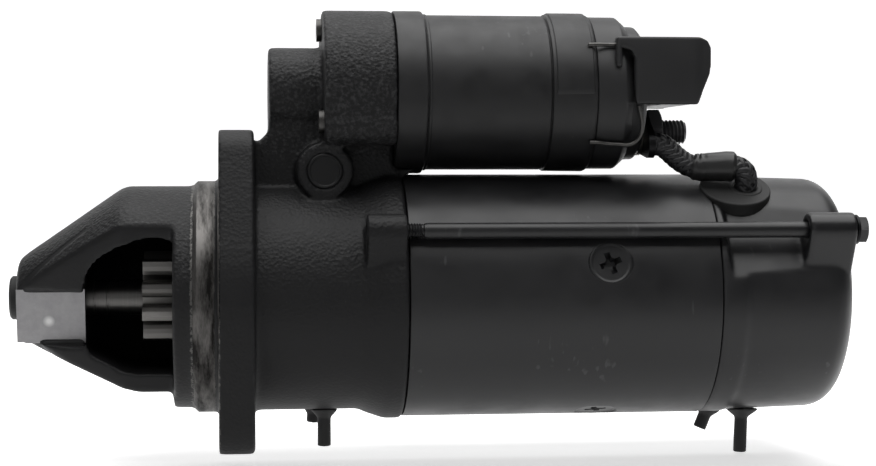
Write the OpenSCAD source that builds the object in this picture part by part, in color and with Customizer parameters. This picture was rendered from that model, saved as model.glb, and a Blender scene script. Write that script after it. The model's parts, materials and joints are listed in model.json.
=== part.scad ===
// Starter motor: a geared motor with a solenoid on top that swings a lever and
// pushes the pinion out of its nose into a flywheel's ring gear.
// Units are millimetres. X runs along the motor, and its zero is the flange's
// mounting face: the nose points to -X and the end cap to +X. Z is up, where the
// solenoid sits. The nose is open towards -Y, which this file calls the front.
// Angles around the motor start at the front and rise over the top.

// Which sub-part to draw, or all of them

/* [Mounting flange] */
// Radius of the turned pilot that centres the motor
pilot_r = 44.5; // [30:0.5:60]
// How far the pilot stands in front of the flange
pilot_len = 9.4; // [4:0.1:20]
// Lead chamfer on the pilot
pilot_chamfer = 1.5; // [0.2:0.1:3]
// Thickness of the flange
flange_t = 13.4; // [6:0.1:25]
// Radius of the circle that the bolt holes lie on
bolt_circle_r = 56; // [48:0.5:80]
// Number of bolt holes
bolt_holes = 3; // [3]
// Radius of a bolt hole
bolt_hole_r = 5.5; // [3:0.1:8]
// Radius of the lobe around a bolt hole
lobe_r = 12; // [9:0.5:20]
// Angle of the first bolt hole
bolt_hole_angle = 68; // [0:1:120]
// Radius of the flange between its lobes
flange_r = 51; // [46:0.5:70]

/* [Nose] */
// Length of the nose in front of the flange
nose_len = 76; // [60:1:110]
// Radius of the nose's front end
nose_tip_r = 17; // [12:0.5:22]
// Radius of the nose beside the pinion
nose_r = 42.6; // [30:0.1:60]
// Length of the cone between the front end and the full radius
nose_cone_len = 37.7; // [20:0.1:60]
// Wall of the nose
nose_wall = 5.5; // [3:0.1:10]
// Length of the bearing boss in the tip
nose_boss_len = 26; // [15:0.5:40]
// Distance of the window's flat from the axis
window_flat = 26.2; // [22:0.1:34]
// How far below the front the window faces
window_tilt = 10.8; // [0:0.1:30]
// Distance of the nose's floor from the axis, outside
floor_out = 34.7; // [28:0.1:44]
// Thickness of the floor
floor_wall = 7.3; // [3:0.1:10]
// Solid ring left between the window and the pilot
shoulder_len = 7.3; // [4:0.1:15]
// Distance of the milled pad on the boss from the axis
pad_flat = 14.6; // [11:0.1:18]

/* [Gear housing] */
// Length from the flange's mounting face to the yoke
housing_len = 70; // [60:1:110]
// Radius of the barrel behind the flange
barrel_r = 44; // [36:0.5:60]
// Radius of the rim that meets the yoke
rim_r = 47.8; // [40:0.1:64]
// Length of the rim and its flare
rim_len = 17; // [10:0.5:25]
// Half the width of the lever tower
tower_half = 12.5; // [9:0.5:20]
// Where the tower's front wall starts
tower_x = 19; // [16:0.5:30]
// Wall of the lever tower
tower_wall = 3.9; // [2:0.1:6]

/* [Yoke and end cap] */
// Outer radius of the yoke
yoke_r = 47; // [38:0.5:60]
// Wall of the yoke
yoke_wall = 5; // [3:0.5:8]
// Length of the yoke
yoke_len = 117; // [90:1:160]
// Length of the end cap
cap_len = 51; // [35:1:70]
// Radius of the end cap's rear corner
cap_corner = 9.5; // [4:0.5:20]
// How deep the flats beside the through bolts cut into the end cap
cap_flat_depth = 3.3; // [1:0.1:4]
// Radius of a through bolt's shank
bolt_r = 3; // [2.5:0.5:5]
// Gap between a through bolt and the yoke
bolt_gap = 0.6; // [0.3:0.1:3]
// Angle of the first through bolt
bolt_angle = 31.5; // [10:0.5:60]
// Radius of the lugs around the through bolts
bolt_lug_r = 6.5; // [5:0.5:10]

/* [Solenoid] */
// Height of the solenoid's axis over the top of the yoke
sol_over_yoke = 31.9; // [28:0.1:60]
// Radius of the solenoid's steel case
sol_r = 30; // [24:0.5:40]
// Length of the case up to the crimped ring
case_len = 46.5; // [35:0.5:80]
// Length of the crimped ring
crimp_len = 17.3; // [8:0.1:25]
// Where the solenoid's front flange starts
sol_x = 67; // [60:0.5:80]
// Thickness of the solenoid's front flange
sol_flange_t = 12; // [6:0.5:20]
// Length of the cast cup that carries the solenoid
cup_len = 27.4; // [15:0.1:40]
// Radius of the plunger
plunger_r = 12; // [8:0.5:16]
// How far the plunger moves
plunger_travel = 8.44; // [5:0.01:14]
// Radius of a terminal stud
stud_r = 4.9; // [3:0.1:6]
// Stud radius where the nut grips and in the cap, at the thread's middle depth
stud_grip_r = 4.5; // [2.6:0.1:5.6]
// Length of a stud outside the cap
stud_out = 19.4; // [14:0.1:35]
// Wall of the terminal cover
cover_wall = 2; // [1:0.1:4]
// Radius of the hole in the cover's end that lets the battery nut on and off
nut_access_r = 9.6; // [6:0.1:12]

/* [Drive] */
// Number of teeth on the pinion
pinion_teeth = 9; // [8:1:13]
// Outer radius of the pinion
pinion_r = 17.5; // [12:0.1:22]
// Length of the pinion's teeth
pinion_len = 18.7; // [12:0.1:30]
// Distance of the pinion's front face from the flange's mounting face
pinion_x = 28.7; // [20:0.1:40]
// How far the drive slides forward
drive_travel = 12.63; // [8:0.01:20]
// Radius of the output shaft in the nose
shaft_r = 6.8; // [4:0.1:8]
// Radius of the shaft over its splines
spline_r = 9; // [6:0.1:11]
// Outer radius of the clutch
clutch_r = 24; // [18:0.5:30]
// Height of the lever's pivot over the motor's axis
pivot_z = 48.4; // [40:0.1:60]
// Distance of the lever's pivot from the mounting face
pivot_x = 39.8; // [30:0.1:50]
// Radius of the lever's pivot pin
pivot_r = 4; // [2.5:0.5:6]

/* [Planet gears] */
// Module of the gear set
gear_module = 1.3; // [1:0.05:2]
// Teeth on the sun gear
sun_teeth = 16; // [12:1:20]
// Teeth on each planet gear
planet_teeth = 20; // [14:1:24]
// Width of the planet gears
gear_w = 12.5; // [8:0.5:20]

/* [Motor] */
// Radius of the armature
armature_r = 27; // [20:0.5:36]
// Length of the armature's core
core_len = 64; // [40:1:100]
// Air gap between the armature and a pole shoe
air_gap = 0.6; // [0.4:0.1:1.5]
// Radius of the commutator
commutator_r = 18; // [14:0.5:26]
// Radius of the armature's shaft
armature_shaft_r = 8; // [6:0.5:12]

/* [Clearances] */
// Radial gap of a shaft that turns in a bush
run_fit = 0.05; // [0.02:0.01:0.1]
// Gap between pieces of different bodies that don't touch
part_gap = 0.3; // [0.2:0.05:1]
// Gap around a piece that is pressed or seated in another
seat_gap = 0.05; // [0.02:0.01:0.2]
// Tooth thinning on each flank of the planet gears
backlash = 0.06; // [0.02:0.01:0.2]

/* [Hidden] */
$fn = 64;
far = 200;
eps = 0.01;

// Colours for the preview
black_paint = [0.12, 0.12, 0.13];
cast_black = [0.17, 0.17, 0.18];
steel = [0.66, 0.67, 0.69];
zinc = [0.74, 0.74, 0.72];
bronze = [0.62, 0.48, 0.28];
copper = [0.72, 0.43, 0.26];
plastic_black = [0.09, 0.09, 0.1];
rubber_black = [0.06, 0.06, 0.06];
varnish = [0.45, 0.22, 0.12];

// Stations along X
cone_end = -nose_len + 2.6 + nose_cone_len;
shoulder_x = -pilot_len - shoulder_len;
cavity_r = nose_r - nose_wall;
boss_end = -nose_len + nose_boss_len;
yoke_x = housing_len;
cap_x = yoke_x + yoke_len;
cap_end = cap_x + cap_len;
yoke_bore = yoke_r - yoke_wall;
plate_x = housing_len - 18;
plate_t = 6;
ring_x = plate_x + plate_t;
ring_len = 22;
cover_t = 2;
gear_x = ring_x + 8;
carrier_x = ring_x + 1;
carrier_t = 6;
cover_x = ring_x + ring_len;
bolt_ring = yoke_r + bolt_gap + bolt_r;
bolt_side = [bolt_angle, bolt_angle + 180];
lug_len = 15;
bolt_washer_t = 1.2;
rear_lug_len = 18.5;
cap_dome = 1.8;
ear_x = housing_len - 16;
cap_wall = 4;
cap_in = yoke_bore;
cap_seat_r = cap_in - 2.5;
core_mid = yoke_x + yoke_len * 0.64;
core_x = core_mid - core_len / 2;
pole_r_in = armature_r + air_gap;
pole_r_out = yoke_bore - seat_gap;
pole_angles = [18, 108, 198, 288];
winding_len = 9;
coil_over = 6;
commutator_x = cap_x + 5;
commutator_len = 22;
brush_angles = [63, 153, 243, 333];
brush_t = 10;
brush_w = 16;
brush_len = 13;
brush_x = commutator_x + 3;
brush_plate_x = commutator_x + commutator_len + 1;
brush_plate_t = 2.5;
bush_len = 10;
bush_wall = 1.5;
plug_r = shaft_r + run_fit + bush_wall;
rear_bush_x = cap_end - cap_wall - bush_len - 2;

// Planet gear set
ring_teeth = sun_teeth + 2 * planet_teeth;
planet_orbit = gear_module * (sun_teeth + planet_teeth) / 2;
planet_angles = [0, 120, 240];
addendum = 0.8 * gear_module;
dedendum = 1.05 * gear_module;
gear_pressure = 25;
planet_pin_r = 4;
sun_r = gear_module * sun_teeth / 2;
ring_pitch_r = gear_module * ring_teeth / 2;

// Solenoid stations
sol_z = yoke_r + sol_over_yoke;
cup_x = sol_x - cup_len;
case_x = sol_x + sol_flange_t;
crimp_x = case_x + case_len;
crimp_end = crimp_x + crimp_len;
sol_cap_len = 14.2;
sol_step_len = 6;
step_x = crimp_end + sol_cap_len;
step_end = step_x + sol_step_len;
step_r = sol_r - 4;
sol_cap_r = sol_r - 0.3;
case_wall = 3;
cup_r = sol_r + 1.3;
cup_bore = 20;
cup_floor = 4.5;
sol_screw_ring = 23.8;
ear_ring = 26;
sol_screw_r = 3;
sol_screw_angles = [90, 210, 330];
ear_r = 8;
front_boss_r = 17;
rod_bore = 11.5;
plunger_x = sol_x - 15;
plunger_len = 42.5;
core_gap = 1;
core_face = plunger_x + plunger_len + plunger_travel + core_gap;
core_flange_x = crimp_x - 5;
contact_x = crimp_x + 4;
contact_r = 19;
contact_rod_r = 2.4;
contact_travel = 2.5;
stud_head_x = contact_x + 2.5 + contact_travel + 0.7;
stud_head_t = 4;
switch_floor = stud_head_x + stud_head_t;
switch_r = 22;
motor_stud = [-3, sol_z - 15.3];
battery_stud = [6.5, sol_z + 8.5];
stud_end = step_end + stud_out;
tower_split = 60.2;
washer_t = 1.2;
lug_t = 2.5;
nut_t = 5.4;
nut_r = 9.4;
washer_r = 9.8;
signal_stud = [15.6, sol_z - 10.5];
signal_r = 2.5;

// Lever and drive stations
sleeve_x = 8;
sleeve_len = 37;
fork_x = 31;
pad_r = 4;
pad_play = 0.5;
groove_half = pad_r + pad_play;
sleeve_r = 11;
sleeve_flange_r = 17;
sleeve_flange_t = 4;
fork_in = sleeve_flange_r + 0.4;
fork_t = 3.6;
pad_in = sleeve_r + 0.7;
lever_half = 7;
tip_half = 2.4;
hub_r = 8;
tip_x = 36.5;
rod_pin_r = 2;
shell_x = -9;
shell_len = 23;
roller_r = 3;
race_r = 10;
roller_count = 5;
spline_count = 10;
spline_root = spline_r - 1.1;

// Terminal cover
cover_in = step_r + 0.6;
cover_half = cover_in + cover_wall;
cover_left = step_x - 6.5;
cover_right = step_end + 23.6;
cover_top = sol_z + 20.4;
cover_bottom = sol_z - 4.9;
cover_tip = 5;
clip_r = 0.8;
// Radius of the cap that the clip wires' points are given for
clip_cap_r = 29.7;

// Helpers

// A cylinder along X from x0
module rod(x0, len, r, y = 0, z = 0)
  translate([x0, y, z])
  rotate([0, 90, 0])
  cylinder(r = r, h = len);

// A tube along X
module tube(x0, len, r_out, r_in, y = 0, z = 0)
  difference() {
    rod(x0, len, r_out, y, z);
    rod(x0 - 1, len + 2, r_in, y, z);
  }

// A turned piece: each point is a radius and a place along X
module turned(profile, y = 0, z = 0)
  translate([0, y, z])
  rotate([0, 90, 0])
  rotate_extrude()
  polygon(profile);

// A flat outline across the motor, pushed along X
module across(x0, t)
  translate([x0, 0, 0])
  rotate([90, 0, 90])
  linear_extrude(height = t)
  children();

// A side outline, pushed along Y
module beside(y0, w)
  translate([0, y0 + w, 0])
  rotate([90, 0, 0])
  linear_extrude(height = w)
  children();

// A plan outline, pushed along Z
module above(z0, h)
  translate([0, 0, z0])
  linear_extrude(height = h)
  children();

// Turns what is built towards the front to an angle around the motor
module around(angle)
  rotate([-angle, 0, 0])
  children();

// A cylinder that points outwards, from one distance from the axis to another
module spoke(angle, x, r_from, r_to, r)
  around(angle)
  translate([x, -r_from, 0])
  rotate([90, 0, 0])
  cylinder(r = r, h = r_to - r_from);

// The place of an angle and radius across the motor
function place(angle, r) = [-r * cos(angle), r * sin(angle)];

// A wedge across the motor, between two angles either side of a middle
module wedge(middle, half)
  rotate(180 - middle)
  polygon([[0, 0], [far, -far * tan(half)], [far, far * tan(half)]]);

// Part of a tube along X
module arc_block(x0, len, r_in, r_out, middle, half)
  intersection() {
    tube(x0, len, r_out, r_in);
    across(x0 - 1, len + 2) wedge(middle, half);
  }

// A hexagon bar along X, by its corner radius
module hexagon(x0, len, r, y = 0, z = 0)
  translate([x0, y, z])
  rotate([0, 90, 0])
  cylinder(r = r, h = len, $fn = 6);

// Gear outlines. Half the angle of a tooth comes from the involute of its base circle
function inv(a) = tan(a) * 180 / PI - a;
function half_tooth(r, pitch, base, middle, pressure) =
  middle + inv(pressure) - (r > base ? inv(acos(base / r)) : 0);
function flank(n, side, low, high, pitch, base, middle, pressure) =
  [for (k = [0 : n]) let (f = side > 0 ? n - k : k, r = low + (high - low) * f / n)
    [r, side * half_tooth(r, pitch, base, middle, pressure)]];
function gear_outline(teeth, pitch, low, high, middle, pressure, n = 5) =
  let (base = pitch * cos(pressure))
  let (tooth = concat(
    flank(n, -1, low, high, pitch, base, middle, pressure),
    flank(n, 1, low, high, pitch, base, middle, pressure)))
  [for (i = [0 : teeth - 1], p = tooth)
    [p[0] * cos(360 * i / teeth + p[1]), p[0] * sin(360 * i / teeth + p[1])]];
function thinned(teeth, pitch, gap) = 90 / teeth - gap / pitch * 180 / PI;

// Sweeps a round section along a path, with one direction that it never runs along
function unit(v) = v / norm(v);
function path_way(path, i) =
  unit(path[min(i + 1, len(path) - 1)] - path[max(i - 1, 0)]);
module swept(path, r, sides, side_way) {
  count = len(path);
  points = [for (i = [0 : count - 1])
    let (way = path_way(path, i), u = unit(cross(way, side_way)), v = cross(u, way))
    for (k = [0 : sides - 1])
      path[i] + r * (cos(360 * k / sides) * u + sin(360 * k / sides) * v)];
  walls = [for (i = [0 : count - 2], k = [0 : sides - 1])
    let (a = i * sides + k, b = i * sides + (k + 1) % sides)
    [a, b, b + sides, a + sides]];
  start = [[for (k = [sides - 1 : -1 : 0]) k]];
  finish = [[for (k = [0 : sides - 1]) (count - 1) * sides + k]];
  polyhedron(points = points, faces = concat(walls, start, finish), convexity = 6);
}

// A coil spring along X
function coil_path(x0, len, r, turns, steps, y, z) =
  [for (i = [0 : turns * steps])
    [x0 + len * i / (turns * steps), y + r * cos(360 * i / steps), z + r * sin(360 * i / steps)]];

// Drive-end housing

module lobe_outline() {
  hull() {
    circle(r = flange_r);
    for (i = [0 : bolt_holes - 1])
      translate(place(bolt_hole_angle + i * 360 / bolt_holes, bolt_circle_r))
      circle(r = lobe_r);
  }
}

module lug_outline() {
  for (a = bolt_side)
    hull() {
      translate(place(a, bolt_ring)) circle(r = bolt_lug_r);
      translate(place(a - 11, yoke_bore - 6)) circle(r = bolt_lug_r + 2);
    }
}

module nose_outside() {
  pad_bottom = -13.9;
  pad_top = 6.9;
  window_cut = [
    [-far, -pad_flat], [-nose_len, -pad_flat], [cone_end + 0.8, -window_flat],
    [shoulder_x, -window_flat], [shoulder_x, -far], [-far, -far]
  ];
  floor_cut = [
    [-far, -nose_tip_r + 1], [-nose_len + 3, -nose_tip_r + 1], [cone_end, -floor_out + 1.5],
    [cone_end + 6, -floor_out], [shoulder_x - 0.4, -floor_out], [shoulder_x - 0.4, -far], [-far, -far]
  ];
  difference() {
    union() {
      turned([
        [0, -nose_len], [nose_tip_r - 5.5, -nose_len], [nose_tip_r - 2.2, -nose_len + 0.8],
        [nose_tip_r, -nose_len + 3.4], [nose_r - 1, cone_end - 1.4], [nose_r, cone_end + 1.6],
        [nose_r, -pilot_len + eps], [0, -pilot_len + eps]
      ]);
      around(-window_tilt)
        translate([-nose_len + 0.6, -pad_flat - 1, pad_bottom])
        cube([nose_boss_len - 1, pad_flat, pad_top - pad_bottom]);
    }
    around(-window_tilt) {
      above(-far / 2, far)
        polygon(window_cut);
      translate([-nose_len - 1, -far, pad_bottom])
        cube([nose_boss_len + 1, far - pad_flat, pad_top - pad_bottom]);
    }
    beside(-far, 2 * far)
      polygon(floor_cut);
  }
}

module nose_cavity() {
  floor_in = -floor_out + floor_wall;
  intersection() {
    turned([
      [0, boss_end], [cavity_r - 13.5, boss_end], [cavity_r - 12.5, boss_end + 0.8],
      [cavity_r - 9.7, boss_end + 2.4], [cavity_r - 6, boss_end + 6], [cavity_r - 1.4, boss_end + 13.4],
      [cavity_r + 0.8, boss_end + 19.3], [cavity_r + 1.4, boss_end + 24], [cavity_r + 1.4, boss_end + 29],
      [cavity_r + 0.2, shoulder_x + 1], [0, shoulder_x + 1]
    ]);
    beside(-far, 2 * far)
      polygon([
        [boss_end - 1, -18.5], [cone_end, floor_in + 1], [cone_end + 5, floor_in],
        [far, floor_in], [far, far], [boss_end - 1, far]
      ]);
  }
}

module tower_outline() {
  polygon([
    [10, 30], [10, 59.6], [15.2, 59.6], [tower_x, 63.4], [tower_x, sol_z],
    [sol_x, sol_z], [sol_x, 57.5], [sol_x + 2.5, 52.5], [sol_x + 9, 50.4], [sol_x + 9, 49.4],
    [sol_x + 4, 46], [sol_x - 5, 40], [sol_x - 12, 30]
  ]);
}

module cup_outline() {
  difference() {
    translate([0, sol_z]) circle(r = cup_r);
    translate([-far, sol_z - 18.4 - far]) square([2 * far, far]);
  }
  for (a = sol_screw_angles)
    translate([0, sol_z] + place(a, a == 90 ? ear_ring - 2.4 : ear_ring))
    circle(r = ear_r);
}

// One casting, divided at the back of the flange and above the pivot so that its hollows
// keep their shape in a simulation
module drive_housing()
  color(cast_black)
  intersection() {
    casting();
    translate([-far, -far, -far]) cube([far + flange_t, 2 * far, 2 * far]);
  }

module housing_barrel()
  color(cast_black)
  intersection() {
    casting();
    translate([flange_t, -far, -far]) cube([far, 2 * far, far + tower_split]);
  }

module housing_tower()
  color(cast_black)
  intersection() {
    casting();
    translate([flange_t, -far, tower_split]) cube([far, 2 * far, far]);
  }

module casting() {
  difference() {
    union() {
      nose_outside();
      turned([
        [0, -pilot_len], [pilot_r - pilot_chamfer, -pilot_len],
        [pilot_r, -pilot_len + pilot_chamfer], [pilot_r, eps], [0, eps]
      ]);
      across(0, flange_t) lobe_outline();
      turned([
        [0, 1], [barrel_r, 1], [barrel_r, housing_len - rim_len],
        [barrel_r + 1.4, housing_len - rim_len + 3], [rim_r - 0.7, housing_len - 9],
        [rim_r, housing_len - 7], [rim_r, housing_len - 1], [rim_r - 0.6, housing_len],
        [0, housing_len]
      ]);
      beside(-tower_half, 2 * tower_half) tower_outline();
      rod(tower_x, cup_x - tower_x + 1, front_boss_r, 0, sol_z);
      across(cup_x, cup_len) cup_outline();
      translate([pivot_x, 24, pivot_z]) rotate([90, 0, 0]) cylinder(r = hub_r + 2.7, h = 48);
      across(ear_x, lug_len) lug_outline();
    }
    nose_cavity();
    rod(shoulder_x + 0.5, plate_x - shoulder_x - 0.5, cavity_r);
    rod(plate_x - eps, ring_x - plate_x + 2 * eps, yoke_bore - 2);
    rod(ring_x, far, yoke_bore);
    rod(-far, far, bush_wall + shaft_r + run_fit + seat_gap);
    bolt_holes_cut();
    for (a = bolt_side)
      rod(ear_x - 1, far, bolt_r + seat_gap, place(a, bolt_ring)[0], place(a, bolt_ring)[1]);
    lever_room();
    pivot_bore();
    solenoid_seat();
    drain_holes(front_drains);
    rod(housing_len, 20, yoke_r + part_gap);
    rod_cut_tail();
  }
}

module bolt_holes_cut() {
  for (i = [0 : bolt_holes - 1]) {
    p = place(bolt_hole_angle + i * 360 / bolt_holes, bolt_circle_r);
    rod(-1, flange_t + 2, bolt_hole_r, p[0], p[1]);
  }
}

module lever_room() {
  half = tower_half - tower_wall;
  translate([tower_x + 3.4, -half, 25])
    cube([32, 2 * half, sol_z - 25]);
  rod(tower_x + 4, cup_x + cup_floor - tower_x, rod_bore, 0, sol_z);
  rod(cup_x + cup_floor, cup_len, cup_bore, 0, sol_z);
}

module pivot_bore() {
  translate([pivot_x, far, pivot_z]) rotate([90, 0, 0]) cylinder(r = pivot_r + seat_gap, h = 2 * far);
  translate([pivot_x, -21, pivot_z]) rotate([90, 0, 0]) cylinder(r = pivot_r + 2.5, h = far);
}

module solenoid_seat() {
  for (a = sol_screw_angles) {
    p = [0, sol_z] + place(a, sol_screw_ring);
    rod(cup_x - 1, cup_len + 2, sol_screw_r + part_gap, p[0], p[1]);
    rod(tower_x, cup_x - tower_x, 5, p[0], p[1]);
  }
  rod(sol_x, far, sol_r + 1.8, 0, sol_z);
}

module rod_cut_tail()
  translate([housing_len, -tower_half / 2, yoke_r - 5])
  cube([20, tower_half, 20]);

module nose_bush()
  color(bronze)
  tube(boss_end - nose_boss_len + 2, nose_boss_len - 3, shaft_r + run_fit + bush_wall, shaft_r + run_fit);

module nose_plug()
  color(rubber_black)
  turned([
    [0, -nose_len - 3], [plug_r - 0.8, -nose_len - 3], [plug_r, -nose_len - 2.2],
    [plug_r, -nose_len + 2], [0, -nose_len + 2]
  ]);

module pivot_pin()
  color(cast_black)
  translate([pivot_x, 0, pivot_z])
  rotate([90, 0, 0]) {
    translate([0, 0, -22]) cylinder(r = pivot_r, h = 22 + 21.5);
    translate([0, 0, 21.2]) cylinder(r = pivot_r + 2.4, h = 3.4);
  }

// Planet gear train

module bearing_plate()
  color(steel)
  tube(plate_x, plate_t, yoke_bore - 2 - seat_gap, 12 + bush_wall + run_fit + seat_gap);

module plate_bush()
  color(bronze)
  tube(plate_x, plate_t, 12 + run_fit + bush_wall, 12 + run_fit);

module ring_gear()
  color(steel)
  difference() {
    rod(ring_x, ring_len, yoke_bore - seat_gap - 0.1);
    rod(ring_x - 1, gear_x - ring_x + 0.5, ring_pitch_r + dedendum + 0.4);
    across(ring_x + 2, ring_len)
      rotate(180 / ring_teeth)
      polygon(gear_outline(ring_teeth, ring_pitch_r, ring_pitch_r - addendum,
        ring_pitch_r + dedendum, 90 / ring_teeth + backlash / ring_pitch_r * 180 / PI, gear_pressure, 3));
  }

module gear_cover()
  color(steel)
  tube(cover_x, cover_t, yoke_bore - seat_gap - 0.1, armature_shaft_r + 4);

module planet_gear(angle) {
  turn = angle + 180 + angle * sun_teeth / planet_teeth + 180 / planet_teeth;
  pitch = gear_module * planet_teeth / 2;
  y = planet_orbit * cos(angle);
  z = planet_orbit * sin(angle);
  color(steel)
  difference() {
    across(gear_x, gear_w)
      translate([y, z])
      rotate(turn)
      polygon(gear_outline(planet_teeth, pitch, pitch - dedendum, pitch + addendum,
        thinned(planet_teeth, pitch, backlash), gear_pressure, 4));
    rod(gear_x - 1, gear_w + 2, planet_pin_r + run_fit, y, z);
  }
}

module planet_gear_a() planet_gear(planet_angles[0]);
module planet_gear_b() planet_gear(planet_angles[1]);
module planet_gear_c() planet_gear(planet_angles[2]);

module planet_pins()
  color(zinc)
  for (a = planet_angles)
    rod(carrier_x + 1, gear_x + gear_w - carrier_x - 0.7, planet_pin_r,
      planet_orbit * cos(a), planet_orbit * sin(a));

// Output shaft and drive

function spline_outline(root, tip, grow) =
  [for (i = [0 : spline_count - 1], p = [
      [root + grow, -8.5 - grow * 5], [tip + grow, -8 - grow * 5],
      [tip + grow, 8 + grow * 5], [root + grow, 8.5 + grow * 5]])
    [p[0] * cos(360 * i / spline_count + p[1]), p[0] * sin(360 * i / spline_count + p[1])]];

module output_shaft()
  color(steel)
  difference() {
    union() {
      turned([
        [0, -nose_len + 2.4], [shaft_r - 0.8, -nose_len + 2.4], [shaft_r, -nose_len + 3.2],
        [shaft_r, -47.4], [shaft_r - 0.5, -47.3], [shaft_r - 0.5, -46.6], [shaft_r, -46.5],
        [shaft_r, -42.6], [shaft_r - 0.5, -42.5], [shaft_r - 0.5, -41.7], [shaft_r, -41.6],
        [shaft_r, 8], [0, 8]
      ]);
      across(7.4, plate_x - 9)
        polygon(spline_outline(spline_root, spline_r, 0));
      rod(plate_x - 1.6, carrier_x - plate_x + 1.7, 12);
      difference() {
        rod(carrier_x, carrier_t, planet_orbit + 7.6);
        for (a = planet_angles)
          rod(carrier_x + 1, carrier_t, planet_pin_r + seat_gap,
            planet_orbit * cos(a), planet_orbit * sin(a));
      }
    }
    rod(carrier_x - 3, far, shaft_r + run_fit);
  }

pinion_pitch = pinion_r * 0.78;

module pinion() {
  color(steel)
  difference() {
    union() {
      across(-pinion_x, pinion_len)
        rotate(180 - 16)
        polygon(gear_outline(pinion_teeth, pinion_pitch, pinion_pitch * 0.755, pinion_r,
          12.5, 20, 5));
      rod(-pinion_x + pinion_len - 0.5, 16.5, race_r);
    }
    rod(-far, far + far, shaft_r + run_fit);
  }
}

module clutch_shell()
  color(steel)
  difference() {
    rod(shell_x, shell_len, clutch_r);
    rod(shell_x + 2, shell_len - 6, race_r + 2 * roller_r + 0.35);
    rod(shell_x - 1, 10, race_r + part_gap);
    rod(sleeve_x, far, sleeve_r + seat_gap);
  }

module clutch_rollers()
  color(zinc)
  for (i = [0 : roller_count - 1])
    let (p = place(i * 360 / roller_count, race_r + roller_r + 0.17))
    rod(shell_x + 3, 11, roller_r, p[0], p[1]);

module drive_sleeve()
  color(steel)
  difference() {
    union() {
      rod(sleeve_x + 1, sleeve_len - 1, sleeve_r);
      rod(fork_x - groove_half - sleeve_flange_t, sleeve_flange_t, sleeve_flange_r);
      rod(fork_x + groove_half, sleeve_flange_t, sleeve_flange_r);
    }
    across(sleeve_x - 1, sleeve_len + 2)
      polygon(spline_outline(spline_root, spline_r, 0.12));
  }

module shift_lever() {
  color(zinc)
  difference() {
    union() {
      for (side = [-1, 1]) {
        translate([fork_x, side * (pad_in + fork_in + fork_t) / 2, 0])
          rotate([90, 0, 0])
          cylinder(r = pad_r, h = fork_in + fork_t - pad_in, center = true);
        translate([0, side * (fork_in + fork_t / 2) - fork_t / 2, 0])
          beside(0, fork_t)
          polygon([[fork_x - 4, 0], [fork_x + 4, 0], [38.3, 26], [32.2, 26]]);
      }
      beside(-fork_in - fork_t, 2 * (fork_in + fork_t))
        polygon([[31.4, 20.5], [36.8, 20.5], [38.3, 26.2], [32.3, 26.2]]);
      beside(-lever_half, 2 * lever_half)
        polygon([[31.9, 24], [37.8, 24], [46.5, pivot_z - 1], [33.2, pivot_z - 1]]);
      translate([pivot_x, 0, pivot_z])
        rotate([90, 0, 0])
        cylinder(r = hub_r, h = 2 * lever_half, center = true);
      beside(-tip_half, 2 * tip_half)
        polygon([[33.6, pivot_z], [46, pivot_z], [41.5, sol_z + 5], [31.4, sol_z + 5]]);
    }
    translate([pivot_x, 0, pivot_z])
      rotate([90, 0, 0])
      cylinder(r = pivot_r + run_fit, h = far, center = true);
    translate([tip_x, 0, sol_z])
      rotate([0, -6.1, 0])
      translate([-rod_pin_r - 0.35, -far / 2, -rod_pin_r - 1.3])
      cube([2 * rod_pin_r + 0.7, far, 20]);
  }
}

// Solenoid

module solenoid_flange()
  color(black_paint)
  difference() {
    union() {
      rod(sol_x, sol_flange_t, sol_r + 1.5, 0, sol_z);
      rod(sol_x - 3, 4, cup_bore - seat_gap, 0, sol_z);
    }
    rod(sol_x - 4, far, plunger_r + 0.1, 0, sol_z);
    for (a = sol_screw_angles) {
      p = [0, sol_z] + place(a, sol_screw_ring);
      rod(sol_x - 1, sol_flange_t - 2, sol_screw_r + seat_gap, p[0], p[1]);
    }
  }

module solenoid_case()
  color(black_paint)
  difference() {
    union() {
      rod(case_x, case_len + 1, sol_r, 0, sol_z);
      turned([
        [0, crimp_x], [sol_r + 0.4, crimp_x], [sol_r + 0.7, crimp_x + 0.6],
        [sol_r + 0.7, crimp_end - 1], [sol_r, crimp_end], [0, crimp_end]
      ], 0, sol_z);
    }
    rod(case_x - 1, far, sol_r - case_wall, 0, sol_z);
  }

module solenoid_coil()
  color(copper)
  tube(case_x + 0.2, core_flange_x - case_x - 0.4, sol_r - case_wall - part_gap, plunger_r + 0.6, 0, sol_z);

module solenoid_core()
  color(steel)
  difference() {
    union() {
      rod(core_face, core_flange_x - core_face + 1, plunger_r, 0, sol_z);
      rod(core_flange_x, 4.6, sol_r - case_wall - seat_gap, 0, sol_z);
    }
    rod(core_face - 1, far, contact_rod_r + 0.15, 0, sol_z);
  }

module solenoid_cap()
  color(plastic_black)
  difference() {
    union() {
      rod(core_flange_x + 4.8, crimp_end - core_flange_x - 4, sol_r - case_wall - seat_gap, 0, sol_z);
      turned([
        [0, crimp_end + 0.02], [sol_cap_r, crimp_end + 0.02], [sol_cap_r, step_x - 3],
        [sol_cap_r - 3, step_x], [0, step_x]
      ], 0, sol_z);
      turned([
        [0, step_x - 1], [step_r, step_x - 1], [step_r, step_end - 2],
        [step_r - 2, step_end], [0, step_end]
      ], 0, sol_z);
    }
    rod(core_flange_x, switch_floor - core_flange_x, switch_r, 0, sol_z);
    for (p = [motor_stud, battery_stud])
      rod(switch_floor - 1, far, stud_grip_r + seat_gap, p[0], p[1]);
    rod(switch_floor - 1, far, signal_r + seat_gap, signal_stud[0], signal_stud[1]);
  }

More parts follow.
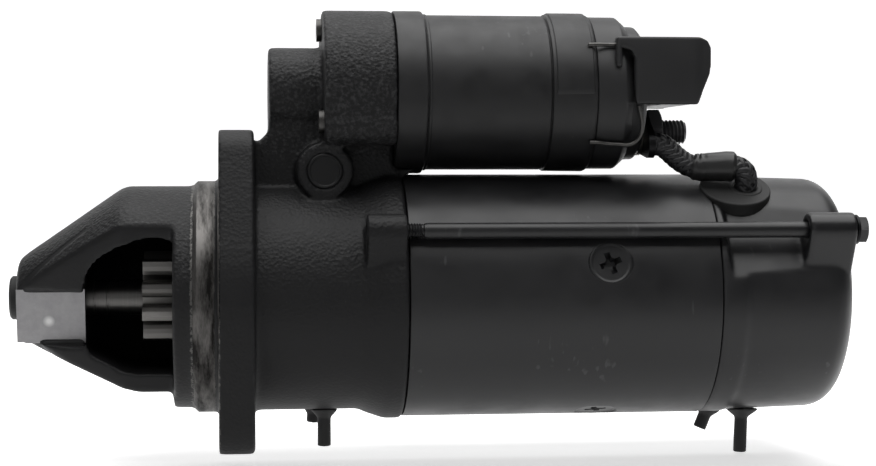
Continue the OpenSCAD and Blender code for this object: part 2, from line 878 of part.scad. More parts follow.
module solenoid_screws()
  color(zinc)
  for (a = sol_screw_angles) {
    p = [0, sol_z] + place(a, sol_screw_ring);
    rod(cup_x - eps, cup_len + sol_flange_t - 3.4, sol_screw_r, p[0], p[1]);
    difference() {
      rod(cup_x - 1.9, 1.9, 4.4, p[0], p[1]);
      hexagon(cup_x - 4, 3.3, 2.7, p[0], p[1]);
    }
  }

module terminal_studs()
  color(copper)
  for (p = [motor_stud, battery_stud]) {
    rod(stud_head_x, stud_head_t, stud_r + 1.2, p[0], p[1]);
    rod(stud_head_x + 1, stud_end - stud_head_x - 2, stud_grip_r, p[0], p[1]);
    free_x = step_end + washer_t + nut_t + 0.3 + lug_t * (p == motor_stud ? 1 : 0);
    rod(free_x, stud_end - free_x, stud_r, p[0], p[1]);
  }

module terminal_washers()
  color(zinc)
  for (p = [motor_stud, battery_stud])
    tube(step_end, washer_t, washer_r - 0.6, stud_r + 0.2, p[0], p[1]);

module terminal_nuts()
  color(zinc)
  for (p = [motor_stud, battery_stud])
    difference() {
      hexagon(step_end + washer_t + lug_t * (p == motor_stud ? 1 : 0), nut_t, nut_r, p[0], p[1]);
      rod(step_end, far, stud_grip_r + seat_gap, p[0], p[1]);
    }

module signal_terminal()
  color(copper) {
    rod(switch_floor - 2, step_end + 12 - switch_floor, signal_r, signal_stud[0], signal_stud[1]);
    difference() {
      hexagon(step_end, 4, 4.6, signal_stud[0], signal_stud[1]);
      rod(step_end - 1, 6, signal_r - 0.1, signal_stud[0], signal_stud[1]);
    }
  }

module cover_outline(inset) {
  left = cover_left;
  right = cover_right - inset;
  top = cover_top - inset;
  bottom = cover_bottom + inset;
  polygon([
    [left, bottom], [right - cover_tip, bottom], [right - 0.4, top - 14],
    [right, top - 11], [right, top - 4], [right - 1.3, top - 1.3], [right - 4, top], [left, top]
  ]);
}

module terminal_cover()
  color(plastic_black)
  difference() {
    beside(-cover_half, 2 * cover_half) cover_outline(0);
    difference() {
      beside(-cover_in, far) cover_outline(cover_wall);
      translate([cover_right - 6, cover_in, 0]) cube([far, far, far]);
    }
    translate([0, cover_in - 1, 0])
      beside(0, far)
      polygon([
        [cover_left - 1, cover_bottom - 1], [step_end + 1, cover_bottom - 1],
        [step_end + 1, cover_top - 6], [cover_left - 1, cover_top - 6]
      ]);
    rod(cover_right - 6, far, nut_access_r, battery_stud[0], battery_stud[1]);
    rod(cover_left - 1, step_end + part_gap - cover_left + 1, step_r + part_gap, 0, sol_z);
    rod(cover_left - 1, step_x - cover_left + 1.3, sol_cap_r + part_gap, 0, sol_z);
    translate([0, -far, 0])
      beside(0, far)
      polygon([
        [cover_left + 1, cover_bottom - 1], [cover_left + 7.4, cover_bottom - 1],
        [cover_left + 7.4, cover_top - 8], [cover_left + 5.6, cover_top - 4.8],
        [cover_left + 1, cover_top - 3.4]
      ]);
  }

// Points of the clip wires, with heights over the solenoid's axis
clip_low = [
  [140.5, -25, -19.6], [143.6, -24.9, -19.7], [147, -23.9, -20.1], [152, -23.8, -20.4],
  [155.4, -23.9, -20.6], [158.2, -24.2, -19.5], [160.2, -25, -16.7], [160.6, -26, -12.9],
  [160, -26.7, -9.5], [159.1, -27.2, -5.7]
];
clip_high = [
  [139.5, -26.6, 17.3], [143.5, -26.5, 17.4], [147, -25.5, 17.4], [150, -25.4, 17.4],
  [153.4, -25.4, 17.3]
];

// A wire's points beside a cap of any radius. Its height e at the cover stays.
function clip_line(points, e) =
  let (
    k = sol_cap_r / clip_cap_r,
    m = (points[0][2] * k - e) / (points[0][2] - e)
  ) [for (p = points) [p[0], p[1] * k, sol_z + e + (p[2] - e) * m]];

module cover_clips()
  color(zinc)
  for (side = [0, 1])
    mirror([0, side, 0]) {
      swept(clip_line(clip_low, cover_bottom - sol_z - 0.8), clip_r, 8, [0, 1, 0]);
      swept(clip_line(clip_high, 0), clip_r, 8, [0, 1, 0]);
    }

module plunger()
  color(steel)
  difference() {
    union() {
      rod(plunger_x, plunger_len, plunger_r, 0, sol_z);
      rod(plunger_x - 2, 3, plunger_r + 5, 0, sol_z);
    }
    rod(plunger_x - 3, 14, 4 + seat_gap, 0, sol_z);
  }

module plunger_rod()
  color(zinc)
  difference() {
    union() {
      rod(plunger_x - 7, 15, 4, 0, sol_z);
      translate([tip_x - 4.5, -6.4, sol_z - 4])
        cube([plunger_x - 6.5 - tip_x + 4.5, 12.8, 8]);
      translate([tip_x, 0, sol_z])
        rotate([90, 0, 0])
        cylinder(r = rod_pin_r, h = 12.6, center = true);
    }
    difference() {
      translate([tip_x - 10, -tip_half - 0.4, sol_z - 10])
        cube([17.4, 2 * tip_half + 0.8, 20]);
      translate([tip_x, 0, sol_z])
        rotate([90, 0, 0])
        cylinder(r = rod_pin_r, h = 12.6, center = true);
    }
  }

spring_x = plunger_x + 2.1;
module return_spring()
  color(steel)
  swept(coil_path(spring_x, sol_x - 4.2 - spring_x, plunger_r + 3, 4, 14, 0, sol_z), 0.9, 6, [1, 0, 0]);

module contact_disc()
  color(copper) {
    rod(core_face - 3.3, contact_x - core_face + 4.5, contact_rod_r, 0, sol_z);
    difference() {
      rod(contact_x, 2.5, contact_r, 0, sol_z);
      rod(contact_x - 1, 5, contact_rod_r - 0.1, 0, sol_z);
    }
  }

// Motor

module yoke()
  color(black_paint)
  difference() {
    rod(yoke_x, yoke_len, yoke_r);
    rod(yoke_x - 1, yoke_len + 2, yoke_bore);
    for (a = pole_angles) {
      spoke(a, core_mid, yoke_bore - 2, far, 4 + seat_gap);
      around(a)
        translate([core_mid, -yoke_r - 0.5, 0])
        rotate([-90, 0, 0])
        cylinder(r1 = 9.1, r2 = 4, h = 5.1);
    }
  }

module pole_shoes()
  color(steel)
  difference() {
    for (a = pole_angles) {
      arc_block(core_x, core_len, pole_r_in, pole_r_in + 3.4, a, 32);
      arc_block(core_x, core_len, pole_r_in + 3, pole_r_out, a, 17);
    }
    for (a = pole_angles)
      spoke(a, core_mid, pole_r_in + 3, far, 4 + seat_gap);
  }

module field_coils()
  color(varnish)
  for (a = pole_angles)
    difference() {
      arc_block(core_x - coil_over, core_len + 2 * coil_over, pole_r_in + 4, yoke_bore - 0.5, a, 38);
      arc_block(core_x - 0.6, core_len + 1.2, pole_r_in, far / 2, a, 18.5);
    }

module pole_screws()
  color(black_paint)
  for (a = pole_angles)
    around(a)
    difference() {
      translate([core_mid, -yoke_r + 0.3, 0])
        rotate([-90, 0, 0])
        union() {
          cylinder(r1 = 8.2, r2 = 4, h = 4.2);
          cylinder(r = 4, h = 12);
        }
      for (turn = [20, 110])
        translate([core_mid, -yoke_r, 0])
        rotate([0, turn, 0])
        cube([9, 6, 2.2], center = true);
    }

module armature_shaft()
  color(steel) {
    rod(carrier_x, gear_x - carrier_x + 0.5, shaft_r - 0);
    across(gear_x, gear_w + 1)
      polygon(gear_outline(sun_teeth, sun_r, sun_r - dedendum, sun_r + addendum,
        thinned(sun_teeth, sun_r, backlash), gear_pressure, 4));
    rod(gear_x + gear_w + 0.5, rear_bush_x + bush_len - gear_x - gear_w - 0.5, armature_shaft_r);
  }

module armature_core()
  color(steel)
  difference() {
    rod(core_x, core_len, armature_r);
    rod(core_x - 1, core_len + 2, armature_shaft_r + seat_gap);
    for (i = [0 : 18])
      around(i * 360 / 19)
      translate([core_x - 1, -armature_r - 1, -1])
      cube([core_len + 2, 5, 2]);
  }

module armature_windings()
  color(copper) {
    tube(core_x - winding_len, winding_len - 0.05, armature_r - 3, armature_shaft_r + 3);
    tube(core_x + core_len + 0.05, commutator_x - core_x - core_len - 0.1, armature_r - 3,
      armature_shaft_r + 3);
  }

module commutator()
  color(copper)
  tube(commutator_x, commutator_len, commutator_r, armature_shaft_r + seat_gap);

module brush(angle)
  color([0.3, 0.27, 0.25])
  around(angle)
  difference() {
    translate([brush_x, -commutator_r - brush_len, -brush_t / 2])
      cube([brush_w, brush_len + 1, brush_t]);
    rod(brush_x - 1, brush_w + 2, commutator_r + 0.05);
  }

module brush_a() brush(brush_angles[0]);
module brush_b() brush(brush_angles[1]);
module brush_c() brush(brush_angles[2]);
module brush_d() brush(brush_angles[3]);

brush_slack = 0.3;
guide_wall = 1.3;
guide_out = cap_in - 3.2;
module brush_plate()
  color(zinc) {
    tube(brush_plate_x, brush_plate_t, cap_seat_r - seat_gap, armature_shaft_r + 6);
    for (a = brush_angles)
      around(a)
      difference() {
        translate([brush_x - brush_slack - guide_wall, -guide_out, -brush_t / 2 - brush_slack - guide_wall])
          cube([brush_plate_x - brush_x + brush_slack + guide_wall + eps,
            guide_out - commutator_r - 2, brush_t + 2 * (brush_slack + guide_wall)]);
        translate([brush_x - brush_slack, -guide_out + guide_wall, -brush_t / 2 - brush_slack])
          cube([brush_w + 2 * brush_slack, far, brush_t + 2 * brush_slack]);
      }
  }

module brush_springs()
  color(steel)
  for (a = brush_angles)
    around(a)
    rotate([0, 0, -90])
    swept(coil_path(commutator_r + brush_len + 0.9, guide_out - guide_wall - commutator_r - brush_len - 1.8,
      3, 3, 10, brush_x + brush_w / 2, 0), 0.6, 6, [1, 0, 0]);

module cap_profile_turned() {
  corner_x = cap_end + cap_dome - cap_corner;
  rear_r = yoke_r - 1.7;
  turned(concat(
    [[0, cap_x - 3], [yoke_bore - seat_gap, cap_x - 3], [yoke_bore - seat_gap, cap_x],
      [yoke_r - 0.3, cap_x], [yoke_r - 0.1, cap_x + 0.8], [yoke_r - 0.1, cap_x + 9.5],
      [yoke_r - 0.8, cap_x + 10.5]],
    [for (i = [0 : 6]) [rear_r - cap_corner + cap_corner * cos(i * 15), corner_x + cap_corner * sin(i * 15)]],
    [[0, cap_end + cap_dome]]));
}

module end_cap()
  color(black_paint)
  difference() {
    union() {
      difference() {
        cap_profile_turned();
        for (a = bolt_side)
          around(a)
          translate([cap_x + 3.4, -far, -far / 2])
          cube([cap_len, far - yoke_r + cap_flat_depth, far]);
      }
      across(cap_end - rear_lug_len, rear_lug_len) lug_outline();
    }
    turned([
      [0, cap_x - 4], [cap_seat_r, cap_x - 4], [cap_seat_r, cap_x + 1], [cap_in - 0.8, cap_x + 3],
      [cap_in - 0.8, brush_plate_x - 3], [cap_seat_r, brush_plate_x - 2],
      [cap_seat_r, brush_plate_x + brush_plate_t], [cap_seat_r - 2, brush_plate_x + brush_plate_t],
      [cap_seat_r - 2, cap_end - 11], [cap_in - 11, cap_end - cap_wall],
      [15, cap_end - cap_wall], [14, rear_bush_x - 2], [0, rear_bush_x - 2]
    ]);
    rod(rear_bush_x - 3, bush_len + 3.5, armature_shaft_r + run_fit + bush_wall + seat_gap);
    for (a = bolt_side)
      rod(cap_x, far, bolt_r + part_gap, place(a, bolt_ring)[0], place(a, bolt_ring)[1]);
    spoke(grommet_angle, lead_x, yoke_bore - 8, far, grommet_neck_r + seat_gap);
    drain_holes(rear_drains);
  }

module rear_bush()
  color(bronze)
  tube(rear_bush_x, bush_len, armature_shaft_r + run_fit + bush_wall, armature_shaft_r + run_fit);

module through_bolts()
  color(black_paint)
  for (a = bolt_side) {
    p = place(a, bolt_ring);
    rod(ear_x + 1, cap_end + bolt_washer_t - ear_x - 1 + eps, bolt_r, p[0], p[1]);
    hexagon(cap_end + bolt_washer_t, 3.2, 5.4, p[0], p[1]);
  }

module bolt_washers()
  color(zinc)
  for (a = bolt_side)
    tube(cap_end, bolt_washer_t, 5.6, bolt_r + 0.1, place(a, bolt_ring)[0], place(a, bolt_ring)[1]);

// Drain tubes: where they stand, how far down they reach, their tilt, and the radii of collar and wall
front_drains = [[40.3, -3, 58.4, 0, 5.4, barrel_r], [36.8, 9, 50.7, 3, 4.8, barrel_r]];
rear_drains = [
  [cap_x + 19.2, -3, 63.4, 2, 6.6, yoke_r - 0.85], [cap_x + 8.6, 9, 56, 22, 5, yoke_r - 0.1]
];
drain_r = 2.6;
drain_plug = 5;

// Puts what hangs below the wall at a drain's place, tilted
module at_drain(d)
  translate([d[0], d[1], -d[5]])
  rotate([0, d[3], 0])
  children();

module drain_tubes(list)
  for (d = list)
    difference() {
      union() {
        difference() {
          at_drain(d) {
            translate([0, 0, d[5] - d[2]]) cylinder(r = drain_r, h = d[2] - d[5] + drain_plug);
            translate([0, 0, -3.2]) cylinder(r1 = drain_r, r2 = d[4], h = 3.2);
            cylinder(r = d[4], h = 1.4);
          }
          rod(d[0] - 30, 60, d[5] + 0.05);
        }
        at_drain(d) cylinder(r = drain_r, h = drain_plug);
      }
      at_drain(d) translate([0, 0, -far / 2]) cylinder(r = 1.4, h = far);
    }

module drain_holes(list)
  for (d = list)
    at_drain(d)
    translate([0, 0, -20])
    cylinder(r = drain_r + 0.1, h = 40);

module front_drain_tubes()
  color(rubber_black)
  drain_tubes(front_drains);

module rear_drain_tubes()
  color(rubber_black)
  drain_tubes(rear_drains);

// Braided lead from the solenoid to the motor, and what holds it
grommet_angle = 61.5;
grommet_x = cap_x + 10.8;
lead_x = cap_x + 14.6;
grommet_r = 13.6;
grommet_neck_r = 6.6;
grommet_top = yoke_r + 1;
lead_r = 4.6;
lead_path = [
  [166.72, -17.4, 58.6], [168.8, -17.4, 58.6], [171, -17.6, 57.7], [173.8, -18, 55.2], [177, -18.8, 52.4],
  [180.4, -19.9, 50.4], [184, -21, 49.8], [194.4, -22.8, 50.2], [197.6, -23.4, 49.9],
  [199.9, -23.9, 48.8], [201.2, -24.1, 47], [201.6, -23.8, 43.9], [201.6, -21.9, 40.4], [201.6, -19.8, 36.5]
];
sleeve_from = lead_path[6];
sleeve_to = lead_path[7];

module motor_lead()
  color(black_paint)
  swept(lead_path, lead_r, 12, [0.05, 1, 0]);

module lead_sleeve() {
  way = unit(sleeve_to - sleeve_from);
  start = sleeve_from + way * 0.8;
  tilt = acos(way[2]);
  turn = atan2(way[1], way[0]);
  color(rubber_black)
  translate(start)
  rotate([0, tilt, turn])
  difference() {
    cylinder(r = lead_r + 0.75, h = norm(sleeve_to - sleeve_from) - 1.6);
    translate([0, 0, -1]) cylinder(r = lead_r + seat_gap, h = far);
  }
}

module lead_lug()
  color(copper)
  difference() {
    across(step_end + washer_t, lug_t)
      hull() {
        translate(motor_stud) circle(r = 8.4);
        translate([lead_path[0][1], lead_path[0][2]]) circle(r = lead_r + 0.6);
      }
    rod(step_end, far, stud_r + 0.2, motor_stud[0], motor_stud[1]);
  }

module lead_grommet()
  color(rubber_black)
  difference() {
    union() {
      spoke(grommet_angle, grommet_x, 40, grommet_top, grommet_r);
      spoke(grommet_angle, lead_x, 39, grommet_top + 0.2, grommet_neck_r);
    }
    difference() {
      union() {
        rod(cap_x - 20, 60, yoke_r - 0.05);
        rod(cap_x - 20, 20 + eps, yoke_r + 0.05);
      }
      spoke(grommet_angle, lead_x, 30, yoke_r + 1, grommet_neck_r);
    }
    rod(cap_x - 20, 60, cap_in - 2.5);
    spoke(grommet_angle, lead_x, 20, far, lead_r + 0.25);
  }

drive_housing();
housing_barrel();
housing_tower();
nose_bush();
nose_plug();
pivot_pin();
bearing_plate();
plate_bush();
ring_gear();
gear_cover();
yoke();
pole_shoes();
field_coils();
pole_screws();
brush_plate();
brush_springs();
end_cap();
rear_bush();
through_bolts();
bolt_washers();
front_drain_tubes();
rear_drain_tubes();
lead_grommet();
motor_lead();
lead_sleeve();
lead_lug();
solenoid_flange();
solenoid_case();
solenoid_coil();
solenoid_core();
solenoid_cap();
solenoid_screws();
terminal_studs();
terminal_nuts();
terminal_washers();
signal_terminal();
terminal_cover();
cover_clips();
return_spring();
armature_shaft();
armature_core();
armature_windings();
commutator();
output_shaft();
planet_pins();
planet_gear_a();
planet_gear_b();
planet_gear_c();
pinion();
clutch_shell();
clutch_rollers();
drive_sleeve();
shift_lever();
plunger();
plunger_rod();
contact_disc();
brush_a();
brush_b();
brush_c();
brush_d();
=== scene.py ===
"""A geared starter motor: cast nose, drawn-steel yoke, solenoid on top. Lengths are given in millimetres."""

import json
import math

import bmesh
import bpy
import numpy as np
from mathutils import Matrix, Vector, noise


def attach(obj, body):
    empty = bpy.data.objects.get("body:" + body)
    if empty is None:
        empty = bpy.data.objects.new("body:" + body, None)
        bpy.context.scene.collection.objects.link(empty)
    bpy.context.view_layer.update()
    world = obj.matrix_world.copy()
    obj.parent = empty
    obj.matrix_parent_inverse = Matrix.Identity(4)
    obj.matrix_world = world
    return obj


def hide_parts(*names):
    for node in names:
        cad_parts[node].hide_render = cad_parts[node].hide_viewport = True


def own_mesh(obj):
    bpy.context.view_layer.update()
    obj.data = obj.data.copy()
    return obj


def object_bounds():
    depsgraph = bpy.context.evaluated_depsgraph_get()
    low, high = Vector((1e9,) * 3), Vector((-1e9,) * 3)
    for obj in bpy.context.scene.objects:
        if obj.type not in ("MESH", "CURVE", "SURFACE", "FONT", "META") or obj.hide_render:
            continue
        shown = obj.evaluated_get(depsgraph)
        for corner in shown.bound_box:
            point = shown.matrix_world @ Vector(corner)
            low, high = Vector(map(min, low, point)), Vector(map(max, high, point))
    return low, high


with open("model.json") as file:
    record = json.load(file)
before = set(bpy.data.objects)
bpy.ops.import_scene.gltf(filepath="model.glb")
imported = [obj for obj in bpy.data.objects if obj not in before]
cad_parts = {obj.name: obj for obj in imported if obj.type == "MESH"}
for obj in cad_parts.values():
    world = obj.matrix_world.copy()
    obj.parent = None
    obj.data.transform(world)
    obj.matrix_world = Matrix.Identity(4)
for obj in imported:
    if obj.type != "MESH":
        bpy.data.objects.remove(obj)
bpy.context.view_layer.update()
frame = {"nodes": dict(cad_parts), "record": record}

MM = 0.001

# Nose and flange: X is 0 at the mounting face, and flats are measured from the motor's axis
NOSE_LEN, CONE_END = 76.0, 35.0
PAD_FLAT, WINDOW_FLAT = 14.6, 26.2
FLOOR_CUT = 33.0
WINDOW_TILT = math.radians(10.8)
PILOT_FRONT, PILOT_R = -9.43, 44.52
PIVOT_X, PIVOT_Z = 39.8, 48.4

# Yoke and end cap: angles start at the front and rise over the top
YOKE_R, YOKE_WALL = 47.0, 5
YOKE_X, CAP_X, CAP_END = 70.0, 187.0, 238.0
POLE_X, POLE_ANGLES = 144.88, (18, 108, 198, 288)
BOLT_RING, BOLT_R, BOLT_ANGLES = 50.6, 3.0, (31.5, 211.5)

# Solenoid
SOLENOID_Z = 78.9
CAP_R, STEP_R = 29.7, 26.0
STEP_X, STEP_END, STUD_END = 157.0, 163.0, 182.4
STUD_R, GRIP_R, WASHER_T, NUT_LEN, LUG_T = 4.9, 4.5, 1.2, 5.4, 2.5
STUDS = (((-3.0, SOLENOID_Z - 15.3), LUG_T), ((6.5, SOLENOID_Z + 8.5), 0.0))

# Lead
LEAD_R, GROMMET_ANGLE = 4.55, 61.5

# ---------------------------------------------------------------- camera

camera = bpy.data.objects.new("camera", bpy.data.cameras.new("camera"))
bpy.context.scene.collection.objects.link(camera)
camera.location = Vector((7.3, -716, 50.6)) * MM
camera.rotation_euler = (Vector((85.1, 0, 24.1)) * MM - camera.location).to_track_quat("-Z", "Y").to_euler()
camera.data.sensor_width = 36
camera.data.lens = 75.7
camera.data.clip_start = 0.01
bpy.context.scene.camera = camera


# ---------------------------------------------------------------- finishes

def colour(hex_code):
    """A sRGB hex colour as linear red, green, blue, alpha."""
    parts = [int(hex_code[i:i + 2], 16) / 255 for i in (1, 3, 5)]
    return [c / 12.92 if c <= 0.04045 else ((c + 0.055) / 1.055) ** 2.4 for c in parts] + [1.0]


def per(mm):
    """The pattern scale that repeats every so many millimetres."""
    return 1000.0 / mm


def add(tree, kind, inputs=None, **settings):
    """Adds a node with its settings, its values and what feeds it."""
    made = tree.nodes.new(kind)
    for name, value in settings.items():
        setattr(made, name, value)
    for name, value in (inputs or {}).items():
        if isinstance(value, bpy.types.NodeSocket):
            tree.links.new(value, made.inputs[name])
        else:
            made.inputs[name].default_value = value
    return made


def start(name, roughness, metallic=0.0, **sockets):
    """A new material: its tree, its shader and the place on the part that its patterns read."""
    made = bpy.data.materials.new(name)
    made.use_nodes = True
    tree = made.node_tree
    tree.nodes.clear()
    shader = add(tree, "ShaderNodeBsdfPrincipled", {"Roughness": roughness, "Metallic": metallic, **sockets})
    add(tree, "ShaderNodeOutputMaterial", {"Surface": shader.outputs["BSDF"]})
    place = add(tree, "ShaderNodeTexCoord").outputs["Object"]
    return made, tree, shader, place


def blend(tree, share, low, high):
    """The colour between two, each a hex code or what a node gives."""
    ends = {6 + i: colour(c) if isinstance(c, str) else c for i, c in enumerate((low, high))}
    return add(tree, "ShaderNodeMix", {0: share, **ends}, data_type="RGBA").outputs[2]


def roughen(tree, shader, height, strength, depth_mm):
    """Bumps the shader's surface by a height, so many millimetres deep."""
    bump = add(tree, "ShaderNodeBump", {"Height": height, "Strength": strength, "Distance": depth_mm * MM})
    tree.links.new(bump.outputs["Normal"], shader.inputs["Normal"])


def enamel_on_casting():
    # Black enamel sprayed over sand-cast iron: the sand's fine grain breaks the dull gloss into
    # specks, the coat is greyer where it lies thin, with painted light making these grey specks denser
    # and lighter towards the top, and bare iron shows along the machined edges.
    made, tree, shader, place = start("black_enamel_on_sand_cast_iron", 0.5, **{"Specular IOR Level": 0.3})
    grain = add(tree, "ShaderNodeTexNoise", {"Vector": place, "Scale": per(1.5), "Detail": 3.0,
                                             "Roughness": 0.65})
    pits = add(tree, "ShaderNodeTexVoronoi", {"Vector": place, "Scale": per(1.3), "Randomness": 1.0})
    rise = add(tree, "ShaderNodeMath", {0: grain.outputs["Fac"], 1: pits.outputs["Distance"]},
               operation="ADD")
    cast = add(tree, "ShaderNodeAttribute", attribute_name="cast_skin").outputs["Fac"]
    lift = add(tree, "ShaderNodeMath", {0: rise.outputs[0], 1: cast}, operation="MULTIPLY")
    roughen(tree, shader, lift.outputs[0], 0.9, 0.3)
    cloud = add(tree, "ShaderNodeTexNoise", {"Vector": place, "Scale": per(15), "Detail": 4.0,
                                             "Roughness": 0.6})
    tone = blend(tree, cloud.outputs["Fac"], "#0c0c0d", "#161617")
    # Partly painted light: the grey specks stand for thin coat over the grain, but they follow cast_skin,
    # which rises towards the top, so the top is painted lighter
    speck_and_top_light = add(tree, "ShaderNodeMath", {0: grain.outputs["Fac"], 1: cast}, operation="MULTIPLY")
    thin_coat_and_top_light = add(tree, "ShaderNodeMapRange", {"Value": speck_and_top_light.outputs[0], 1: 0.42, 2: 0.66, 3: 0.0, 4: 0.8})
    grey = blend(tree, thin_coat_and_top_light.outputs[0], tone, "#3f3f40")
    bare = add(tree, "ShaderNodeAttribute", attribute_name="bare_iron").outputs["Fac"]
    torn = add(tree, "ShaderNodeMath", {0: bare, 1: grain.outputs["Fac"]}, operation="MULTIPLY")
    shows = add(tree, "ShaderNodeMapRange", {"Value": torn.outputs[0], 1: 0.38, 2: 0.48}).outputs[0]
    shade = blend(tree, shows, grey, "#5f5e5c")
    tree.links.new(shade, shader.inputs["Base Color"])
    tree.links.new(shows, shader.inputs["Metallic"])
    matt = add(tree, "ShaderNodeMapRange", {"Value": cloud.outputs["Fac"], 3: 0.46, 4: 0.6})
    tree.links.new(matt.outputs[0], shader.inputs["Roughness"])
    return made


def enamel(name, roughness, smear_mm, deep):
    # Black enamel over drawn or pressed steel: a smooth satin coat with a faint orange peel, dull
    # smears where it was handled, darker oily patches, and a few short scuffs.
    made, tree, shader, place = start(name, roughness)
    peel = add(tree, "ShaderNodeTexNoise", {"Vector": place, "Scale": per(2.6), "Detail": 2.0})
    smear = add(tree, "ShaderNodeTexNoise", {"Vector": place, "Scale": per(smear_mm), "Detail": 5.0,
                                             "Roughness": 0.62})
    dull = add(tree, "ShaderNodeMapRange", {"Value": smear.outputs["Fac"], 1: 0.32, 2: 0.68,
                                            3: roughness - 0.05, 4: roughness + 0.1})
    tree.links.new(dull.outputs[0], shader.inputs["Roughness"])
    roughen(tree, shader, peel.outputs["Fac"], 0.25, 0.03)
    # A scuff is about 0.6 mm wide and 5 mm long, and leans off the upright
    lean = add(tree, "ShaderNodeMapping", {"Vector": place, "Rotation": (0.0, 0.45, 0.0),
                                           "Scale": (1.0, 1.0, 0.14)})
    marks = add(tree, "ShaderNodeTexNoise", {"Vector": lean.outputs[0], "Scale": per(2.4), "Detail": 1.0})
    where = add(tree, "ShaderNodeTexNoise", {"Vector": place, "Scale": per(30), "Detail": 1.0})
    both = add(tree, "ShaderNodeMath", {0: marks.outputs["Fac"], 1: where.outputs["Fac"]},
               operation="MULTIPLY")
    scuff = add(tree, "ShaderNodeMapRange", {"Value": both.outputs[0], 1: 0.43, 2: 0.5, 3: 0.0, 4: 0.7})
    base = blend(tree, smear.outputs["Fac"], deep, "#1f1f20")
    shade = blend(tree, scuff.outputs[0], base, "#3d3d3e")
    tree.links.new(shade, shader.inputs["Base Color"])
    return made


def turned_iron():
    # Bare turned cast iron: rings from the tool, and dark stains drawn out around the ring by oil.
    made, tree, shader, place = start("turned_cast_iron", 0.36, metallic=1.0)
    split = add(tree, "ShaderNodeSeparateXYZ", {"Vector": place})
    flat = add(tree, "ShaderNodeCombineXYZ", {"Y": split.outputs["Y"], "Z": split.outputs["Z"]})
    away = add(tree, "ShaderNodeVectorMath", {0: flat.outputs[0]}, operation="LENGTH")
    reach = add(tree, "ShaderNodeMath", {0: split.outputs["X"], 1: away.outputs["Value"]}, operation="ADD")
    line = add(tree, "ShaderNodeCombineXYZ", {"X": reach.outputs[0]})
    # The tool's feed is about 0.2 mm, drawn as 0.7 mm so that it shows
    rings = add(tree, "ShaderNodeTexNoise", {"Vector": line.outputs[0], "Scale": per(0.7), "Detail": 1.0})
    roughen(tree, shader, rings.outputs["Fac"], 0.35, 0.04)
    drawn = add(tree, "ShaderNodeMapping", {"Vector": place, "Scale": (2.4, 0.55, 0.55)})
    mottle = add(tree, "ShaderNodeTexNoise", {"Vector": drawn.outputs[0], "Scale": per(13), "Detail": 5.0,
                                              "Roughness": 0.7})
    stain = add(tree, "ShaderNodeMapRange", {"Value": mottle.outputs["Fac"], 1: 0.36, 2: 0.62})
    shade = blend(tree, stain.outputs[0], "#242322", "#6a6866")
    tree.links.new(shade, shader.inputs["Base Color"])
    matt = add(tree, "ShaderNodeMapRange", {"Value": mottle.outputs["Fac"], 1: 0.35, 2: 0.65, 3: 0.6,
                                            4: 0.42})
    tree.links.new(matt.outputs[0], shader.inputs["Roughness"])
    return made


def milled_iron():
    # Milled cast iron, bare: an even grey with the cutter's faint arcs and a dark fleck or two.
    made, tree, shader, place = start("milled_cast_iron", 0.5, metallic=1.0)
    arcs = add(tree, "ShaderNodeTexWave", {"Vector": place, "Scale": per(9), "Distortion": 3.0,
                                           "Detail": 2.0})
    roughen(tree, shader, arcs.outputs["Fac"], 0.15, 0.02)
    fleck = add(tree, "ShaderNodeTexNoise", {"Vector": place, "Scale": per(5), "Detail": 6.0,
                                             "Roughness": 0.7})
    face = blend(tree, fleck.outputs["Fac"], "#807f82", "#a9a8a8")
    # A painted highlight: one bright spot 3 mm across low on the pad, standing in for the glint off a small
    # dimple
    away = add(tree, "ShaderNodeVectorMath", {0: place, 1: (-0.0635, -0.0133, -0.008)}, operation="DISTANCE")
    painted_glint = add(tree, "ShaderNodeMapRange", {"Value": away.outputs["Value"], 1: 0.0006, 2: 0.0024, 3: 0.6,
                                             4: 0.0})
    shade = blend(tree, painted_glint.outputs[0], face, "#f0f0ee")
    tree.links.new(shade, shader.inputs["Base Color"])
    return made


def ground_steel():
    # Ground shaft steel under a film of oil: a soft streak of light along it, with hairline rings.
    made, tree, shader, place = start("ground_shaft_steel", 0.34, metallic=1.0)
    rings = add(tree, "ShaderNodeMapping", {"Vector": place, "Scale": (1.0, 0.02, 0.02)})
    hair = add(tree, "ShaderNodeTexNoise", {"Vector": rings.outputs[0], "Scale": per(0.9), "Detail": 3.0})
    matt = add(tree, "ShaderNodeMapRange", {"Value": hair.outputs["Fac"], 1: 0.3, 2: 0.7, 3: 0.3, 4: 0.38})
    tree.links.new(matt.outputs[0], shader.inputs["Roughness"])
    shade = blend(tree, hair.outputs["Fac"], "#555453", "#6d6b69")
    tree.links.new(shade, shader.inputs["Base Color"])
    return made


def gear_steel():
    # Case-hardened gear steel, cut and oiled: near black, with worn edges that shine.
    made, tree, shader, place = start("case_hardened_gear_steel", 0.36, metallic=1.0)
    marks = add(tree, "ShaderNodeTexNoise", {"Vector": place, "Scale": per(3.2), "Detail": 6.0,
                                             "Roughness": 0.7})
    shade = blend(tree, marks.outputs["Fac"], "#1b1a1a", "#2e2d2c")
    edge = add(tree, "ShaderNodeNewGeometry").outputs["Pointiness"]
    worn = add(tree, "ShaderNodeMapRange", {"Value": edge, 1: 0.51, 2: 0.62, 3: 0.0, 4: 0.6})
    tip = blend(tree, worn.outputs[0], shade, "#9b9996")
    tree.links.new(tip, shader.inputs["Base Color"])
    matt = add(tree, "ShaderNodeMapRange", {"Value": marks.outputs["Fac"], 3: 0.38, 4: 0.52})
    tree.links.new(matt.outputs[0], shader.inputs["Roughness"])
    return made


